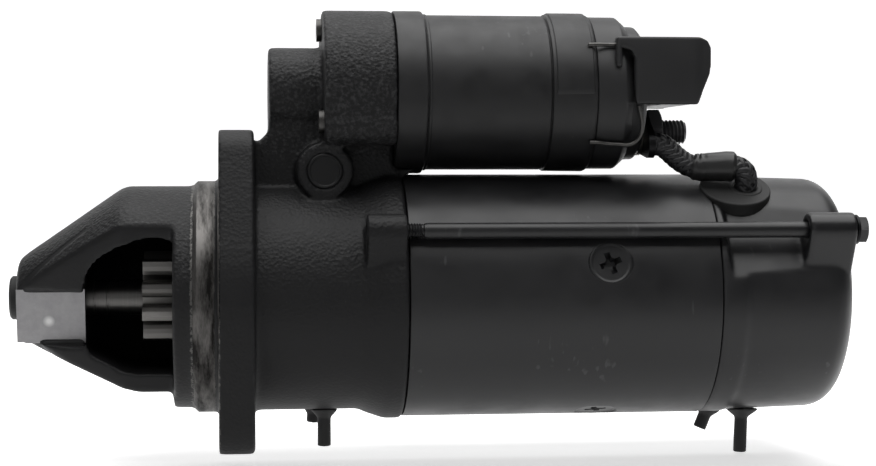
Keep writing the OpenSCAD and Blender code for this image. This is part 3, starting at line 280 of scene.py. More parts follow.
def metal(name, low, high, rough, grain_mm):
    """A plain bright or plated metal, clouded between two tones at the size of its grain."""
    made, tree, shader, place = start(name, rough, metallic=1.0)
    cloud = add(tree, "ShaderNodeTexNoise", {"Vector": place, "Scale": per(grain_mm), "Detail": 5.0})
    shade = blend(tree, cloud.outputs["Fac"], low, high)
    tree.links.new(shade, shader.inputs["Base Color"])
    matt = add(tree, "ShaderNodeMapRange", {"Value": cloud.outputs["Fac"], 3: rough * 0.75, 4: rough * 1.25})
    tree.links.new(matt.outputs[0], shader.inputs["Roughness"])
    roughen(tree, shader, cloud.outputs["Fac"], 0.1, 0.02)
    return made


def moulded(name, low, high, rough, grain_mm, depth):
    """A moulded plastic or rubber: one dark tone with the mould's fine grain on it."""
    made, tree, shader, place = start(name, rough)
    grain = add(tree, "ShaderNodeTexNoise", {"Vector": place, "Scale": per(grain_mm), "Detail": 3.0})
    roughen(tree, shader, grain.outputs["Fac"], 0.3, depth)
    cloud = add(tree, "ShaderNodeTexNoise", {"Vector": place, "Scale": per(11), "Detail": 3.0})
    shade = blend(tree, cloud.outputs["Fac"], low, high)
    tree.links.new(shade, shader.inputs["Base Color"])
    matt = add(tree, "ShaderNodeMapRange", {"Value": cloud.outputs["Fac"], 3: rough * 0.85, 4: rough * 1.15})
    tree.links.new(matt.outputs[0], shader.inputs["Roughness"])
    return made


def stacked_sheets():
    # A core of electrical sheet, 0.5 mm each, drawn at 1 mm so that the edges of the sheets show.
    made, tree, shader, place = start("laminated_electrical_steel", 0.42, metallic=1.0)
    sheets = add(tree, "ShaderNodeTexWave", {"Vector": place, "Scale": per(1.0)}, bands_direction="X")
    roughen(tree, shader, sheets.outputs["Fac"], 0.5, 0.1)
    shade = blend(tree, sheets.outputs["Fac"], "#56555a", "#7d7c7e")
    tree.links.new(shade, shader.inputs["Base Color"])
    return made


def wound_wire():
    # Enamelled copper wire set in varnish: a red-brown gloss over the turns.
    made, tree, shader, place = start("varnished_copper_winding", 0.28)
    turns = add(tree, "ShaderNodeTexWave", {"Vector": place, "Scale": per(5.0), "Distortion": 1.0},
                bands_direction="DIAGONAL")
    roughen(tree, shader, turns.outputs["Fac"], 0.6, 0.3)
    shade = blend(tree, turns.outputs["Fac"], "#4a1f0f", "#8c4a24")
    tree.links.new(shade, shader.inputs["Base Color"])
    return made


CASTING = enamel_on_casting()
ENAMEL = enamel("black_enamel_on_drawn_steel", 0.36, 22, "#0e0e10")
SATIN = enamel("satin_enamel_on_pressed_steel", 0.46, 9, "#060607")
TURNED = turned_iron()
MILLED = milled_iron()
SHAFT = ground_steel()
GEAR = gear_steel()
ZINC = metal("zinc_plated_steel", "#9b9a93", "#c6c5be", 0.32, 4)
DULLED = metal("dulled_spring_wire", "#4a4948", "#666563", 0.4, 3)
SPRING = metal("drawn_spring_steel", "#8e8d8a", "#b9b8b4", 0.26, 6)
BLACKED = metal("black_oxide_steel", "#1d1d1e", "#323233", 0.42, 5)
OILED = moulded("oiled_black_steel", "#3c3c3d", "#525254", 0.34, 2.2, 0.03)
COPPER = metal("bare_copper", "#a5633f", "#c98257", 0.34, 7)
BRONZE = metal("sintered_bronze", "#8d6a3a", "#b08c55", 0.45, 1.5)
CARBON = moulded("pressed_carbon", "#1c1a19", "#2d2a28", 0.5, 0.8, 0.05)
NYLON = moulded("glass_filled_nylon", "#1b1b1c", "#222223", 0.46, 0.9, 0.03)
RUBBER = moulded("moulded_rubber", "#131313", "#1c1c1c", 0.66, 1.2, 0.05)
SHRINK = moulded("heat_shrunk_sleeve", "#191919", "#202020", 0.36, 3.0, 0.08)
BRAID = moulded("varnished_wire_braid", "#121214", "#212123", 0.42, 0.7, 0.08)
LAMINATED = stacked_sheets()
WINDING = wound_wire()

FINISHES = {
    "cast_black": CASTING, "case_black": ENAMEL, "turned_steel": SHAFT, "gear_steel": GEAR,
    "zinc_steel": ZINC, "bronze": BRONZE, "copper": COPPER, "winding": WINDING,
    "lamination": LAMINATED, "carbon": CARBON, "black_plastic": NYLON, "black_rubber": RUBBER,
    "black_braid": BRAID,
}
for part in frame["record"]["subparts"]:
    shown = frame["nodes"][part["node"]]
    shown.data.materials.clear()
    shown.data.materials.append(FINISHES[part["material_slot"]])
    shown.data.shade_smooth()
    shown.data.set_sharp_from_angle(angle=math.radians(32))


# ---------------------------------------------------------------- making pieces

def piece(name, mesh, material, body="housing", stands_for=(), crease=34):
    """Puts a finished mesh in the scene on its body."""
    made = mesh if isinstance(mesh, bpy.types.Object) else bpy.data.objects.new(name, mesh)
    made.name = name
    if not made.users_collection:
        bpy.context.scene.collection.objects.link(made)
    made.data.materials.clear()
    made.data.materials.append(material)
    made.data.shade_smooth()
    made.data.set_sharp_from_angle(angle=math.radians(crease))
    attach(made, body)
    if stands_for:
        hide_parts(*stands_for)
    return made


def settle(made):
    """Turns an object's modifiers into its mesh."""
    bpy.context.view_layer.update()
    ready = made.evaluated_get(bpy.context.evaluated_depsgraph_get())
    old = made.data
    mesh = bpy.data.meshes.new_from_object(ready)
    made.modifiers.clear()
    made.data = mesh
    bpy.data.meshes.remove(old)
    return made


def eased(points, radius):
    """A profile with each inner corner rounded. A point may give a radius of its own."""
    out = []
    last = len(points) - 1
    for i, p in enumerate(points):
        r = p[2] if len(p) > 2 else radius
        here = Vector(p[:2])
        if i in (0, last) or r <= 0:
            out.append(tuple(here))
            continue
        before, after = Vector(points[i - 1][:2]) - here, Vector(points[i + 1][:2]) - here
        reach = min(r, before.length * 0.45, after.length * 0.45)
        a, b = here + before.normalized() * reach, here + after.normalized() * reach
        for t in (0.0, 0.33, 0.67, 1.0):
            out.append(tuple(a.lerp(here, t).lerp(here.lerp(b, t), t)))
    return out


def skin(rings, loop=False):
    """A mesh over rings of points, each closed, with both ends shut unless the rings form a loop."""
    count = len(rings[0])
    mesh = bpy.data.meshes.new("skin")
    points = [Vector(p) * MM for ring in rings for p in ring]
    faces = []
    for i in range(len(rings) - (0 if loop else 1)):
        a, b = i * count, (i + 1) % len(rings) * count
        faces += [(a + k, a + (k + 1) % count, b + (k + 1) % count, b + k) for k in range(count)]
    if not loop:
        faces.append(tuple(range(count - 1, -1, -1)))
        faces.append(tuple((len(rings) - 1) * count + k for k in range(count)))
    mesh.from_pydata(points, [], faces)
    work = bmesh.new()
    work.from_mesh(mesh)
    bmesh.ops.remove_doubles(work, verts=work.verts, dist=1e-7)
    bmesh.ops.recalc_face_normals(work, faces=work.faces)
    work.to_mesh(mesh)
    work.free()
    return mesh


def turned(profile, at=(0, 0), ease=0.4, sides=96, loop=False, place=None):
    """A piece turned about X from points of (x, radius), at a place (y, z), or moved by a matrix."""
    if loop:
        profile = eased(list(profile) + [profile[0]], ease)[:-1]
    else:
        profile = eased(profile, ease)
    rings = [[(x, at[0] + r * math.cos(k * math.tau / sides), at[1] + r * math.sin(k * math.tau / sides))
              for k in range(sides)] for x, r in profile]
    mesh = skin(rings, loop)
    if place is not None:
        mesh.transform(place)
    return mesh


def shaped(stations, radius, at=(0, 0), sides=96):
    """Like turned, but the radius depends on the place along X and the angle."""
    rings = []
    for x in stations:
        ring = []
        for k in range(sides):
            angle = k * math.tau / sides
            r = radius(x, angle)
            ring.append((x, at[0] + r * math.cos(angle), at[1] + r * math.sin(angle)))
        rings.append(ring)
    return skin(rings)


def hex_head(x0, x1, corner, at, chamfered=(True, True), turn=0.0):
    """A hexagon along X whose corners are turned off at 30 degrees."""
    flat = corner * math.cos(math.pi / 6)
    rise = (corner - flat) * 0.6
    ends = [x0, x0 + rise * 0.5, x0 + rise, x1 - rise, x1 - rise * 0.5, x1]

    def radius(x, angle):
        side = (angle + turn) % (math.pi / 3) - math.pi / 6
        hexagon = flat / math.cos(side)
        cone = corner + 0.05
        if chamfered[0]:
            cone = min(cone, flat * 0.985 + (x - x0) / rise * (corner - flat * 0.985))
        if chamfered[1]:
            cone = min(cone, flat * 0.985 + (x1 - x) / rise * (corner - flat * 0.985))
        return min(hexagon, cone)

    return shaped(ends, radius, at, 120)


def threaded(x0, x1, radius, pitch, at, sides=32):
    """A stud with a real helical thread, run out at both ends."""
    depth = pitch * 0.54
    steps = int((x1 - x0) / pitch * 8)

    def thread(x, angle):
        phase = (x / pitch - angle / math.tau) % 1
        ridge = min(abs(phase - 0.5) * 2.3, 1.0)
        fade = min(1.0, (x - x0) / pitch, (x1 - x) / pitch + 0.35)
        return radius - depth * ridge * fade - max(0.0, 1 - (x1 - x) / 1.0) * 0.8

    return shaped([x0 + (x1 - x0) * i / steps for i in range(steps + 1)], thread, at, sides)


def along(points, radius, sides=16, count=None):
    """A round tube along a smooth line through points. The radius may depend on the share of its length."""
    line = smooth_line(points, count or len(points) * 6)
    rings = []
    side = Vector((0.05, 1.0, 0.02))
    for i, p in enumerate(line):
        way = (line[min(i + 1, len(line) - 1)] - line[max(i - 1, 0)]).normalized()
        side = (side - way * side.dot(way)).normalized()
        up = way.cross(side)
        r = radius(i / (len(line) - 1)) if callable(radius) else radius
        rings.append([p + side * r * math.cos(a) + up * r * math.sin(a)
                      for a in (k * math.tau / sides for k in range(sides))])
    return skin(rings)


def smooth_line(points, count):
    """Evenly spaced points on a smooth line through the given ones."""
    points = [Vector(p) for p in points]
    fine = []
    for i in range(len(points) - 1):
        p0, p1, p2 = points[max(i - 1, 0)], points[i], points[i + 1]
        p3 = points[min(i + 2, len(points) - 1)]
        for k in range(12):
            t = k / 12
            fine.append(0.5 * ((2 * p1) + (p2 - p0) * t + (2 * p0 - 5 * p1 + 4 * p2 - p3) * t * t
                               + (3 * p1 - p0 - 3 * p2 + p3) * t ** 3))
    fine.append(points[-1])
    steps = [0.0]
    for a, b in zip(fine, fine[1:]):
        steps.append(steps[-1] + (b - a).length)
    out = []
    j = 0
    for i in range(count + 1):
        want = steps[-1] * i / count
        while j < len(steps) - 2 and steps[j + 1] < want:
            j += 1
        span = steps[j + 1] - steps[j] or 1.0
        out.append(fine[j].lerp(fine[j + 1], min(1.0, (want - steps[j]) / span)))
    return out


def joined(*meshes):
    """Several meshes as one."""
    work = bmesh.new()
    for mesh in meshes:
        work.from_mesh(mesh)
    out = bpy.data.meshes.new("joined")
    work.to_mesh(out)
    work.free()
    return out


def cut(body, *tools):
    """A mesh with other meshes cut out of it."""
    made = bpy.data.objects.new("work", body)
    bpy.context.scene.collection.objects.link(made)
    knives = []
    for tool in tools:
        knife = bpy.data.objects.new("knife", tool)
        bpy.context.scene.collection.objects.link(knife)
        knives.append(knife)
        step = made.modifiers.new("cut", "BOOLEAN")
        step.operation = "DIFFERENCE"
        step.solver = "EXACT"
        step.object = knife
    settle(made)
    mesh = made.data
    for o in knives + [made]:
        bpy.data.objects.remove(o)
    return mesh


def spoke(angle, x):
    """Places a piece turned about X so that it points outwards from the motor's axis, at an angle
    from the front."""
    a = math.radians(angle)
    out = Vector((0, -math.cos(a), math.sin(a)))
    across = Vector((0, math.sin(a), math.cos(a)))
    turn = Matrix((out, (1, 0, 0), across)).transposed().to_4x4()
    return Matrix.Translation((x * MM, 0, 0)) @ turn


def ring_place(angle, radius):
    """Where an angle from the front and a radius lie across the motor."""
    a = math.radians(angle)
    return -radius * math.cos(a), radius * math.sin(a)


# ---------------------------------------------------------------- castings

def cast_piece(name, nodes, voxel, rounds, swell=None):
    """A casting or moulding from its nodes' solids: made one, remeshed evenly, its edges and corners
    eased as the mould leaves them, and its skin lifted, roughened and bared by swell."""
    made = bpy.data.objects.new(name, frame["nodes"][nodes[0]].data.copy())
    bpy.context.scene.collection.objects.link(made)
    for node in nodes[1:]:
        step = made.modifiers.new("whole", "BOOLEAN")
        step.operation = "UNION"
        step.solver = "EXACT"
        step.object = frame["nodes"][node]
    step = made.modifiers.new("even", "REMESH")
    step.mode = "VOXEL"
    step.voxel_size = voxel * MM
    settle(made)
    mesh = made.data
    count = len(mesh.vertices)
    place = np.empty(count * 3)
    mesh.vertices.foreach_get("co", place)
    place = place.reshape(-1, 3) / MM
    ends = np.empty(len(mesh.edges) * 2, int)
    mesh.edges.foreach_get("vertices", ends)
    ends = ends.reshape(-1, 2)
    near = np.bincount(ends.ravel(), minlength=count).clip(1)
    for _ in range(rounds):
        mean = np.stack([
            np.bincount(ends[:, 0], place[ends[:, 1], i], count)
            + np.bincount(ends[:, 1], place[ends[:, 0], i], count) for i in range(3)], 1) / near[:, None]
        place += (mean - place) * 0.6
    mesh.vertices.foreach_set("co", (place * MM).ravel())
    mesh.update()
    if swell is not None:
        lean = np.empty(count * 3)
        mesh.vertices.foreach_get("normal", lean)
        lift, grain, bare = swell(place)
        place += lean.reshape(-1, 3) * lift[:, None]
        mesh.vertices.foreach_set("co", (place * MM).ravel())
        for label, values in (("cast_skin", grain), ("bare_iron", bare)):
            mesh.attributes.new(label, "FLOAT", "POINT").data.foreach_set("value", values.astype(np.float32))
        mesh.update()
    return made


def between(value, low, high):
    """0 below low, 1 above high and smooth between them."""
    t = np.clip((value - low) / (high - low), 0, 1)
    return t * t * (3 - 2 * t)


def lumps(place, size, seed):
    """Soft lumps of about that size in millimetres, from -1 to 1."""
    return np.array([noise.noise(Vector(p) / size + Vector((seed, 0, 0))) for p in place])


def housing_skin(place):
    """How far the sand lifted the housing's skin, how rough it is, and where iron shows. The roughness also
    sets the enamel's grey specks, so its rise towards the top and the cup paints the top lighter.
    """
    x, y, z = place.T
    reach = np.hypot(y, z)
    out = -(y * math.cos(WINDOW_TILT) + z * math.sin(WINDOW_TILT))
    slope = PAD_FLAT + (x + NOSE_LEN) / (NOSE_LEN - CONE_END) * (WINDOW_FLAT - PAD_FLAT)
    cut_face = (1 - between(abs(out - WINDOW_FLAT), 0.5, 1.2)) * between(-x, 16, 17.5)
    cut_face = np.maximum(cut_face, (1 - between(abs(out - slope), 0.5, 1.2)) * between(-x, 34, 36))
    cut_face = np.maximum(cut_face, between(-z, FLOOR_CUT, FLOOR_CUT + 1.2) * between(-x, 15, 17))
    pad = (1 - between(abs(out - PAD_FLAT), 0.7, 1.4)) * between(-x, 48.5, 49.5)
    machined = between(reach, 42.6, 43.6) * between(-x, -0.6, 0.2) * between(x, -9.9, -9.3)
    machined = np.maximum(np.maximum(machined, between(x, 68.6, 69.4)), pad)
    # Rougher towards the top and on the cup than below: the bumps stand for sand grain, but the grey specks
    # that follow this mask paint the top lighter, as painted light from above
    grain = np.where(x < -9, 0.45 + 0.55 * between(z, -8, 12), 0.3 + 0.6 * between(z, -14, 4))
    grain = np.where(x > 0, grain * (0.75 + 0.25 * between(z, 48, 60)), grain * 0.8)
    grain = np.where((x > -0.2) & (x < 13.7) & (reach > 46), 0.4, grain)
    grain = grain * (1 - 0.8 * cut_face) * (1 - machined)
    lift = (0.035 * lumps(place, 4.5, 3) + 0.04 * lumps(place, 1.7, 9)) * grain - 0.14 * machined
    ragged = 0.5 + 0.5 * lumps(place, 2.2, 21)
    bare = between(x, -11.4, -9.8) * between(-x, 9.0, 9.3) * between(reach, 41, 42.2) * (0.75 + 0.5 * ragged)
    edge = (1 - between(x, 0.5, 1.3)) * between(x, -0.4, -0.1) * between(reach, 45.2, 46.5)
    bare = np.maximum(bare, edge * (0.55 + 0.6 * ragged))
    return lift, grain, bare


HOUSING_NODES = ["drive_housing", "housing_barrel", "housing_tower"]
housing = cast_piece("housing_casting", HOUSING_NODES, 0.85, 5, swell=housing_skin)
piece("housing_casting", housing, CASTING, stands_for=HOUSING_NODES, crease=80)


def cap_skin(place):
    """The end cap's faint casting skin, which stops at its turned joint."""
    x = place[:, 0]
    grain = 0.22 * (1 - between(CAP_X + 0.9 - x, 0, 0.6))
    return 0.04 * lumps(place, 3.5, 5) * grain, grain, grain * 0


cap = cast_piece("end_cap_casting", ["end_cap"], 0.8, 5, swell=cap_skin)
piece("end_cap_casting", cap, ENAMEL, stands_for=["end_cap"], crease=80)


def cover_skin(place):
    """The moulding's front and rear walls swell a little between their top and bottom edges."""
    high = np.clip((place[:, 2] - 86.0) / 14.0, -1, 1)
    side = between(abs(place[:, 1]), 26.0, 27.6)
    side = side * (1 - between(place[:, 0], 180.0, 184.0))
    return 1.1 * (1 - high ** 2) * side, side * 0, side * 0


cover = cast_piece("terminal_cover_moulding", ["terminal_cover"], 0.5, 4, swell=cover_skin)
piece("terminal_cover_moulding", cover, NYLON, stands_for=["terminal_cover"], crease=80)
for where in ("front", "rear"):
    tubes = cast_piece(where + "_drain_moulding", [where + "_drain_tubes"], 0.34, 5)
    piece(where + "_drain_moulding", tubes, RUBBER, stands_for=[where + "_drain_tubes"],
          crease=80)

# The pilot and the mounting face are turned bare, a hair proud of the casting's skin
pilot = turned([(PILOT_FRONT, 36.8, 0), (PILOT_FRONT, 43.05, 0), (-7.95, PILOT_R, 0.3), (-0.04, PILOT_R, 0),
                (-0.04, 50.6, 0), (0.3, 50.6, 0), (0.3, 43.6, 0), (-8.9, 43.0, 0), (-8.9, 36.8, 0)],
               ease=0.25, sides=160, loop=True)
piece("turned_pilot", pilot, TURNED)


def milled_pad():
    """The milled pad on the nose, taken from the solid's own flat and raised a hair."""
    out = Vector((0, -math.cos(WINDOW_TILT), -math.sin(WINDOW_TILT)))
    work = bmesh.new()
    work.from_mesh(frame["nodes"]["drive_housing"].data)
    spare = [f for f in work.faces
             if f.normal.dot(out) < 0.999 or abs(f.calc_center_median().dot(out) / MM - PAD_FLAT) > 0.05]
    bmesh.ops.delete(work, geom=spare, context="FACES")
    bmesh.ops.remove_doubles(work, verts=work.verts, dist=1e-6)
    bmesh.ops.dissolve_limit(work, angle_limit=0.02, verts=work.verts, edges=work.edges)
    raised = bmesh.ops.extrude_face_region(work, geom=work.faces[:])
    bmesh.ops.translate(work, verts=[v for v in raised["geom"] if isinstance(v, bmesh.types.BMVert)],
                        vec=out * 0.1 * MM)
    bmesh.ops.recalc_face_normals(work, faces=work.faces)
    mesh = bpy.data.meshes.new("pad")
    work.to_mesh(mesh)
    work.free()
    return mesh


piece("milled_pad", milled_pad(), MILLED)

# ---------------------------------------------------------------- yoke and end

yoke = turned([(YOKE_X + 0.1, YOKE_R - YOKE_WALL, 0), (YOKE_X + 0.1, YOKE_R, 0.35),
               (CAP_X - 0.1, YOKE_R, 0.35), (CAP_X - 0.1, YOKE_R - YOKE_WALL, 0)], sides=256, loop=True)
sinks = []
for angle in POLE_ANGLES:
    sinks.append(turned([(YOKE_R - 5.6, 0), (YOKE_R - 5.6, 4.05), (YOKE_R - 4.6, 4.05), (YOKE_R + 0.5, 9.1),
                         (YOKE_R + 1.5, 9.1), (YOKE_R + 1.5, 0)],
                        ease=0, sides=64, place=spoke(angle, POLE_X)))
piece("yoke_tube", cut(yoke, *sinks), ENAMEL, stands_for=["yoke"])


def pole_screw(angle):
    """A countersunk screw with a cross recess, its wings tapered like the driver's."""
    top = YOKE_R - 0.55
    head = turned([(top - 12, 0), (top - 12, 4), (top - 4.2, 4), (top - 0.9, 8.1), (top - 0.1, 8.1),
                   (top, 7.4), (top - 0.25, 6.6), (top - 0.25, 0)], ease=0.25, sides=72)
    wings = []
    for turn in (20, 110):
        work = bmesh.new()
        bmesh.ops.create_cube(work, size=1)
        for v in work.verts:
            deep = v.co.x < 0
            v.co = Vector((-3.4 if deep else 1.0, v.co.y * (4.6 if deep else 10.0),
                           v.co.z * (1.6 if deep else 2.5)))
        wing = bpy.data.meshes.new("wing")
        work.to_mesh(wing)
        work.free()
        wing.transform(Matrix.Scale(MM, 4) @ Matrix.Translation((top, 0, 0))
                       @ Matrix.Rotation(math.radians(turn), 4, "X"))
        wings.append(wing)
    middle = turned([(top - 3.8, 0), (top - 3.4, 1.3), (top + 1, 2.6), (top + 1, 0)], ease=0, sides=24)
    made = cut(head, *wings, middle)
    made.transform(spoke(angle, POLE_X))
    return made


piece("pole_screw_set", joined(*[pole_screw(a) for a in POLE_ANGLES]), ENAMEL,
      stands_for=["pole_screws"], crease=28)

bolts, washers = [], []
for angle in BOLT_ANGLES:
    spot = ring_place(angle, BOLT_RING)
    bolts.append(turned([(75.2, 0), (75.2, 2.72), (76.4, BOLT_R), (CAP_END + 1.3, BOLT_R),
                         (CAP_END + 1.3, 0)],
                        at=spot, ease=0.2, sides=40))
    bolts.append(threaded(55.2, 75.4, 2.98, 1.0, spot))
    bolts.append(hex_head(CAP_END + 1.2, CAP_END + 4.4, 5.4, spot, chamfered=(False, True)))
    bolts.append(turned([(CAP_END + 4.3, 0), (CAP_END + 4.3, 3.4), (CAP_END + 4.42, 3.3),
                         (CAP_END + 4.42, 0)],
                        at=spot, ease=0.05, sides=48))
    ring = []
    for i in range(61):
        turn = math.radians(8 + 344 * i / 60)
        spring = 0.25 * (i / 60 - 0.5)
        ring.append([(CAP_END + a + spring, spot[0] + b * math.cos(turn), spot[1] + b * math.sin(turn))
                     for a, b in ((0.13, 3.3), (0.05, 3.5), (0.05, 5.5), (0.15, 5.6), (1.05, 5.6),
                                  (1.15, 5.5), (1.15, 3.5), (1.05, 3.3))])
    washers.append(skin(ring))
piece("through_bolt_set", joined(*bolts), ENAMEL, stands_for=["through_bolts"], crease=24)
piece("spring_washer_set", joined(*washers), BLACKED, stands_for=["bolt_washers"], crease=40)

# ---------------------------------------------------------------- solenoid

case = turned([(67.0, 11.9, 0), (67.0, 31.5, 0.5), (77.9, 31.5, 0.7), (78.75, 30.1, 0.1), (79.1, 30.35, 0.2),
               (79.6, 30.35, 0.2), (80.0, 30.0, 0.3), (124.9, 30.0, 0.3), (125.5, 29.55, 0.2),
               (125.9, 30.55, 0.4), (141.6, 30.7, 0.5), (142.6, 30.2, 0.3), (142.8, 29.75, 0.1),
               (142.8, 27.0, 0), (79.5, 27.0, 0), (79.2, 11.9, 0)],
              at=(0, SOLENOID_Z), ease=0.3, sides=192, loop=True)
pad_points = []
for i in range(41):
    turn = math.radians(-3.5 + 112 * i / 40)
    edge = min(i, 40 - i)
    high = 31.15 if edge > 0 else 30.5
    row = [(127.1, 30.4), (127.1, high - 0.25), (127.4, high), (141.0, high), (141.3, high - 0.25),
           (141.3, 30.4)]
    pad_points.append([(x, -r * math.cos(turn), SOLENOID_Z + r * math.sin(turn)) for x, r in row])
piece("solenoid_shell", joined(case, skin(pad_points)), SATIN,
      stands_for=["solenoid_flange", "solenoid_case"], crease=30)

base = turned([(120.5, 22.0, 0), (120.5, 26.9, 0), (142.9, 26.9, 0), (142.95, 29.4, 0.2), (143.4, CAP_R, 0.3),
               (STEP_X - 3.2, CAP_R, 0.6), (STEP_X, 26.9, 0.6), (STEP_X, 26.1, 0.2), (161.3, STEP_R, 0.6),
               (STEP_END, 24.2, 0.6), (STEP_END, 0.0, 0), (139.2, 0.0, 0), (139.2, 22.0, 0)],
              at=(0, SOLENOID_Z), ease=0.3, sides=160)
piece("solenoid_cap_moulding", base, NYLON, stands_for=["solenoid_cap"], crease=32)

nuts, studs, plates = [], [], []
for spot, lug in STUDS:
    seat = STEP_END + WASHER_T
    studs.append(turned([(135.2, 0), (135.2, 6.1), (139.2, 6.1), (139.2, GRIP_R), (163.5, GRIP_R),
                         (163.5, 0)],
                        at=spot, ease=0.3, sides=40))
    studs.append(threaded(163.2, STUD_END, STUD_R, 1.5, spot, 40))
    nuts.append(hex_head(seat + lug, seat + NUT_LEN + lug, 9.4, spot, turn=math.radians(10)))
    plates.append(turned([(STEP_END, 5.1), (STEP_END, 9.2), (seat, 9.2), (seat, 5.1)],
                         at=spot, ease=0.2, sides=56, loop=True))
piece("terminal_stud_set", joined(*studs), OILED, stands_for=["terminal_studs"], crease=40)
piece("terminal_nut_set", joined(*nuts), OILED, stands_for=["terminal_nuts"], crease=26)
piece("terminal_washer_set", joined(*plates), ZINC, stands_for=["terminal_washers"])

CLIPS = (
    [(140.5, -25, 59.3), (143.6, -24.9, 59.2), (147, -23.9, 58.8), (152, -23.8, 58.5), (155.4, -23.9, 58.3),
     (158.2, -24.2, 59.4), (160.2, -25, 62.2), (160.6, -26, 66), (160, -26.7, 69.4), (159.1, -27.2, 73.2)],
    [(139.5, -26.6, 96.2), (143.5, -26.5, 96.3), (147, -25.5, 96.3), (150, -25.4, 96.3),
     (153.4, -25.4, 96.2)],
)
wires = []
for path in CLIPS:
    for side in (1, -1):
        wires.append(along([(x, y * side, z) for x, y, z in path], 0.8, 14))
piece("clip_wires", joined(*wires), DULLED, stands_for=["cover_clips"], crease=60)

# ---------------------------------------------------------------- lead

LEAD = [
    (166.72, -17.4, 58.6), (168.8, -17.4, 58.6), (171, -17.6, 57.7), (173.8, -18, 55.2), (177, -18.8, 52.4),
    (180.4, -19.9, 50.4), (184, -21, 49.8), (194.4, -22.8, 50.2), (197.6, -23.4, 49.9), (199.9, -23.9, 48.8),
    (201.2, -24.1, 47), (201.6, -23.8, 43.9), (201.6, -21.9, 40.4), (201.6, -19.8, 36.5),
]


def braided(points, radius, strands=6, lay=15.0):
    """A tubular braid on a core: flat strands that wind both ways, over and under each other."""
    line = smooth_line(points, 220)
    step = sum((b - a).length for a, b in zip(line, line[1:])) / (len(line) - 1)
    frames = []
    side = Vector((0.05, 1.0, 0.02))
    for i, p in enumerate(line):
        way = (line[min(i + 1, len(line) - 1)] - line[max(i - 1, 0)]).normalized()
        side = (side - way * side.dot(way)).normalized()
        frames.append((p, way, side, way.cross(side)))
    meshes = [along(points, radius - 0.75, 16)]
    for turn in (1, -1):
        for s in range(strands):
            rings = []
            for i, (p, way, u, v) in enumerate(frames):
                angle = turn * i * step / lay * math.tau + s * math.tau / strands
                weave = math.cos(angle * strands / 2 + (0 if turn > 0 else math.pi / 2))
                out = u * math.cos(angle) + v * math.sin(angle)
                tangent = (way * lay + turn * (v * math.cos(angle) - u * math.sin(angle))
                           * math.tau * radius).normalized()
                across = out.cross(tangent)
                centre = p + out * (radius - 0.62 + 0.2 * weave)
                rings.append([centre + across * 1.02 * math.cos(a) + out * 0.42 * math.sin(a)
                              for a in (k * math.tau / 8 for k in range(8))])
            meshes.append(skin(rings))
    return joined(*meshes)


piece("braided_lead", braided(LEAD, LEAD_R), BRAID, stands_for=["motor_lead"], crease=60)


def shrunk(t):
    """The sleeve's radius along it: tight and rucked where it was heated first, full at its far end."""
    ruck = 0.22 * math.sin(38 * t) * max(0.0, 1 - 2.6 * t)
    return 4.85 + (0.35 + 0.75 * t + ruck) * min(1.0, 12 * t, 14 * (1 - t))


before, first, last, after = (Vector(p) for p in LEAD[5:9])
sleeve_line = [before.lerp(first, 0.35), *(first.lerp(last, t) for t in (0.0, 0.2, 0.4, 0.6, 0.8, 1.0)),
               after]
piece("lead_sleeve_shrunk", along(sleeve_line, shrunk, 32, 60), SHRINK,
      stands_for=["lead_sleeve"], crease=60)

disc = turned([(43.2, 0), (43.2, 13.6, 0), (47.5, 13.6, 0.3), (48.0, 13.2, 0.3), (47.8, 12.2, 0.4),
               (47.8, 7.4, 0.4), (48.0, 5.0, 0)],
              ease=0.3, sides=96, place=spoke(GROMMET_ANGLE, CAP_X + 10.8))
neck = turned([(43.2, 0), (43.2, 6.6, 0), (47.9, 6.6, 0.4), (48.2, 6.2, 0.3), (48.2, 4.7, 0.1),
               (47.0, 4.65, 0), (47.0, 0)], ease=0.3, sides=64, place=spoke(GROMMET_ANGLE, CAP_X + 14.6))
piece("lead_grommet_disc", joined(disc, neck), RUBBER, stands_for=["lead_grommet"], crease=40)

# The lever's pivot pin shows its rolled rim in the boss
pin_place = Matrix.Translation((PIVOT_X * MM, 0, PIVOT_Z * MM)) @ Matrix.Rotation(-math.pi / 2, 4, "Z")
pivot = turned([(-22, 0), (-22, 4.0), (21.3, 4.0), (21.3, 6.75, 0), (23.7, 6.75, 0.5), (24.2, 6.2, 0.4),
                (24.2, 5.7, 0.3), (23.8, 5.3, 0.3), (23.9, 0)], ease=0.3, sides=64, place=pin_place)
piece("pivot_pin_headed", pivot, CASTING, stands_for=["pivot_pin"], crease=50)

# The solids that show as they are get their edges broken
for node in ("pinion", "lead_lug", "solenoid_screws", "clutch_shell", "signal_terminal", "nose_plug"):
    soft = frame["nodes"][node].modifiers.new("eased", "BEVEL")
    soft.width = 0.25 * MM
    soft.segments = 2
    soft.limit_method = "ANGLE"
    soft.angle_limit = math.radians(40)
    soft.use_clamp_overlap = True
frame["nodes"]["solenoid_screws"].data.materials[0] = DULLED
frame["nodes"]["lead_lug"].data.materials[0] = BLACKED
frame["nodes"]["clutch_shell"].data.materials[0] = GEAR


# ---------------------------------------------------------------- springs

def coil_spring(name, node, way, stands_for=()):
    """The coil of a node that lies out along way."""
    made = bpy.data.objects.new(name, frame["nodes"][node].data.copy())
    work = bmesh.new()
    work.from_mesh(made.data)
    bmesh.ops.delete(work, geom=[v for v in work.verts if v.co.dot(way) < 20 * MM], context="VERTS")
    work.to_mesh(made.data)
    work.free()
    piece(name, made, SPRING, stands_for=stands_for, crease=60)
    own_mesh(made)


coil_spring("return_spring_coil", "return_spring", Vector((1, 0, 0)),
            ["return_spring"])
for letter, way in zip("abcd", ((-0.45399, 0.891007), (0.891007, 0.45399), (0.45399, -0.891007),
                                (-0.891007, -0.45399))):
    coil_spring("brush_spring_" + letter, "brush_springs", Vector((0, *way)),
                ["brush_springs"] if letter == "a" else [])

# ---------------------------------------------------------------- stage and light

FLOOR_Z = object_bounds()[0][2] - 0.0005


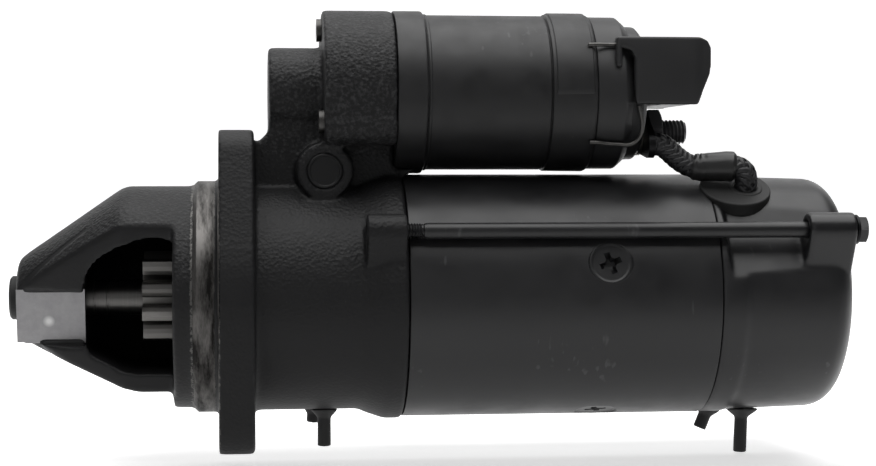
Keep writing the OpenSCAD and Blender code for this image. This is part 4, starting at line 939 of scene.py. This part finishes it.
def stage_finish():
    # Studio paper: pale and matt, and glowing a little from where the motor stands to the wall.
    made, tree, shader, place = start("pale_studio_paper", 0.9)
    back = add(tree, "ShaderNodeSeparateXYZ", {"Vector": place}).outputs["Y"]
    pale = add(tree, "ShaderNodeMapRange", {"Value": back, 1: -0.4, 2: -0.02})
    paper = blend(tree, pale.outputs[0], "#9e9e9e", "#f6f6f6")
    tree.links.new(paper, shader.inputs["Base Color"])
    far = add(tree, "ShaderNodeMapRange", {"Value": back, 1: -0.06, 2: 0.0, 3: 0.0, 4: 0.7})
    shader.inputs["Emission Color"].default_value = (1, 1, 1, 1)
    tree.links.new(far.outputs[0], shader.inputs["Emission Strength"])
    return made


def studio():
    """A pale floor that curves up into a white wall behind."""
    bend = [(2.8 + 0.6 * math.sin(a), 0.6 - 0.6 * math.cos(a))
            for a in (math.radians(9 * k) for k in range(1, 11))]
    line = [(-3.0, 0.0), (2.8, 0.0), *bend, (3.4, 3.6)]
    rows = [[(x, y, z + FLOOR_Z) for x in (-3.4, 3.6)] for y, z in line]
    mesh = bpy.data.meshes.new("paper")
    mesh.from_pydata([p for row in rows for p in row], [],
                     [(2 * i, 2 * i + 1, 2 * i + 3, 2 * i + 2) for i in range(len(rows) - 1)])
    made = bpy.data.objects.new("studio_paper", mesh)
    bpy.context.scene.collection.objects.link(made)
    mesh.materials.append(stage_finish())
    mesh.shade_smooth()


studio()


def softbox(name, location, aim, size, power):
    """A rectangular lamp turned towards what it lights."""
    data = bpy.data.lights.new(name, "AREA")
    data.shape = "RECTANGLE"
    data.size, data.size_y = size
    data.energy = power
    made = bpy.data.objects.new(name, data)
    made.location = location
    made.rotation_euler = (Vector(aim) - Vector(location)).to_track_quat("-Z", "Y").to_euler()
    bpy.context.scene.collection.objects.link(made)


softbox("overhead_box", (0.085, -0.11, 1.0), (0.085, -0.11, 0), (1.6, 1.45), 20)
softbox("front_fill", (-0.25, -1.6, 0.3), (0.085, 0.0, 0.02), (1.4, 1.0), 1.2)
world = bpy.data.worlds.new("studio_air")
world.use_nodes = True
world.node_tree.nodes["Background"].inputs["Color"].default_value = colour("#6f6f70")
world.node_tree.nodes["Background"].inputs["Strength"].default_value = 0.7
bpy.context.scene.world = world
bpy.context.scene.view_settings.view_transform = "Standard"
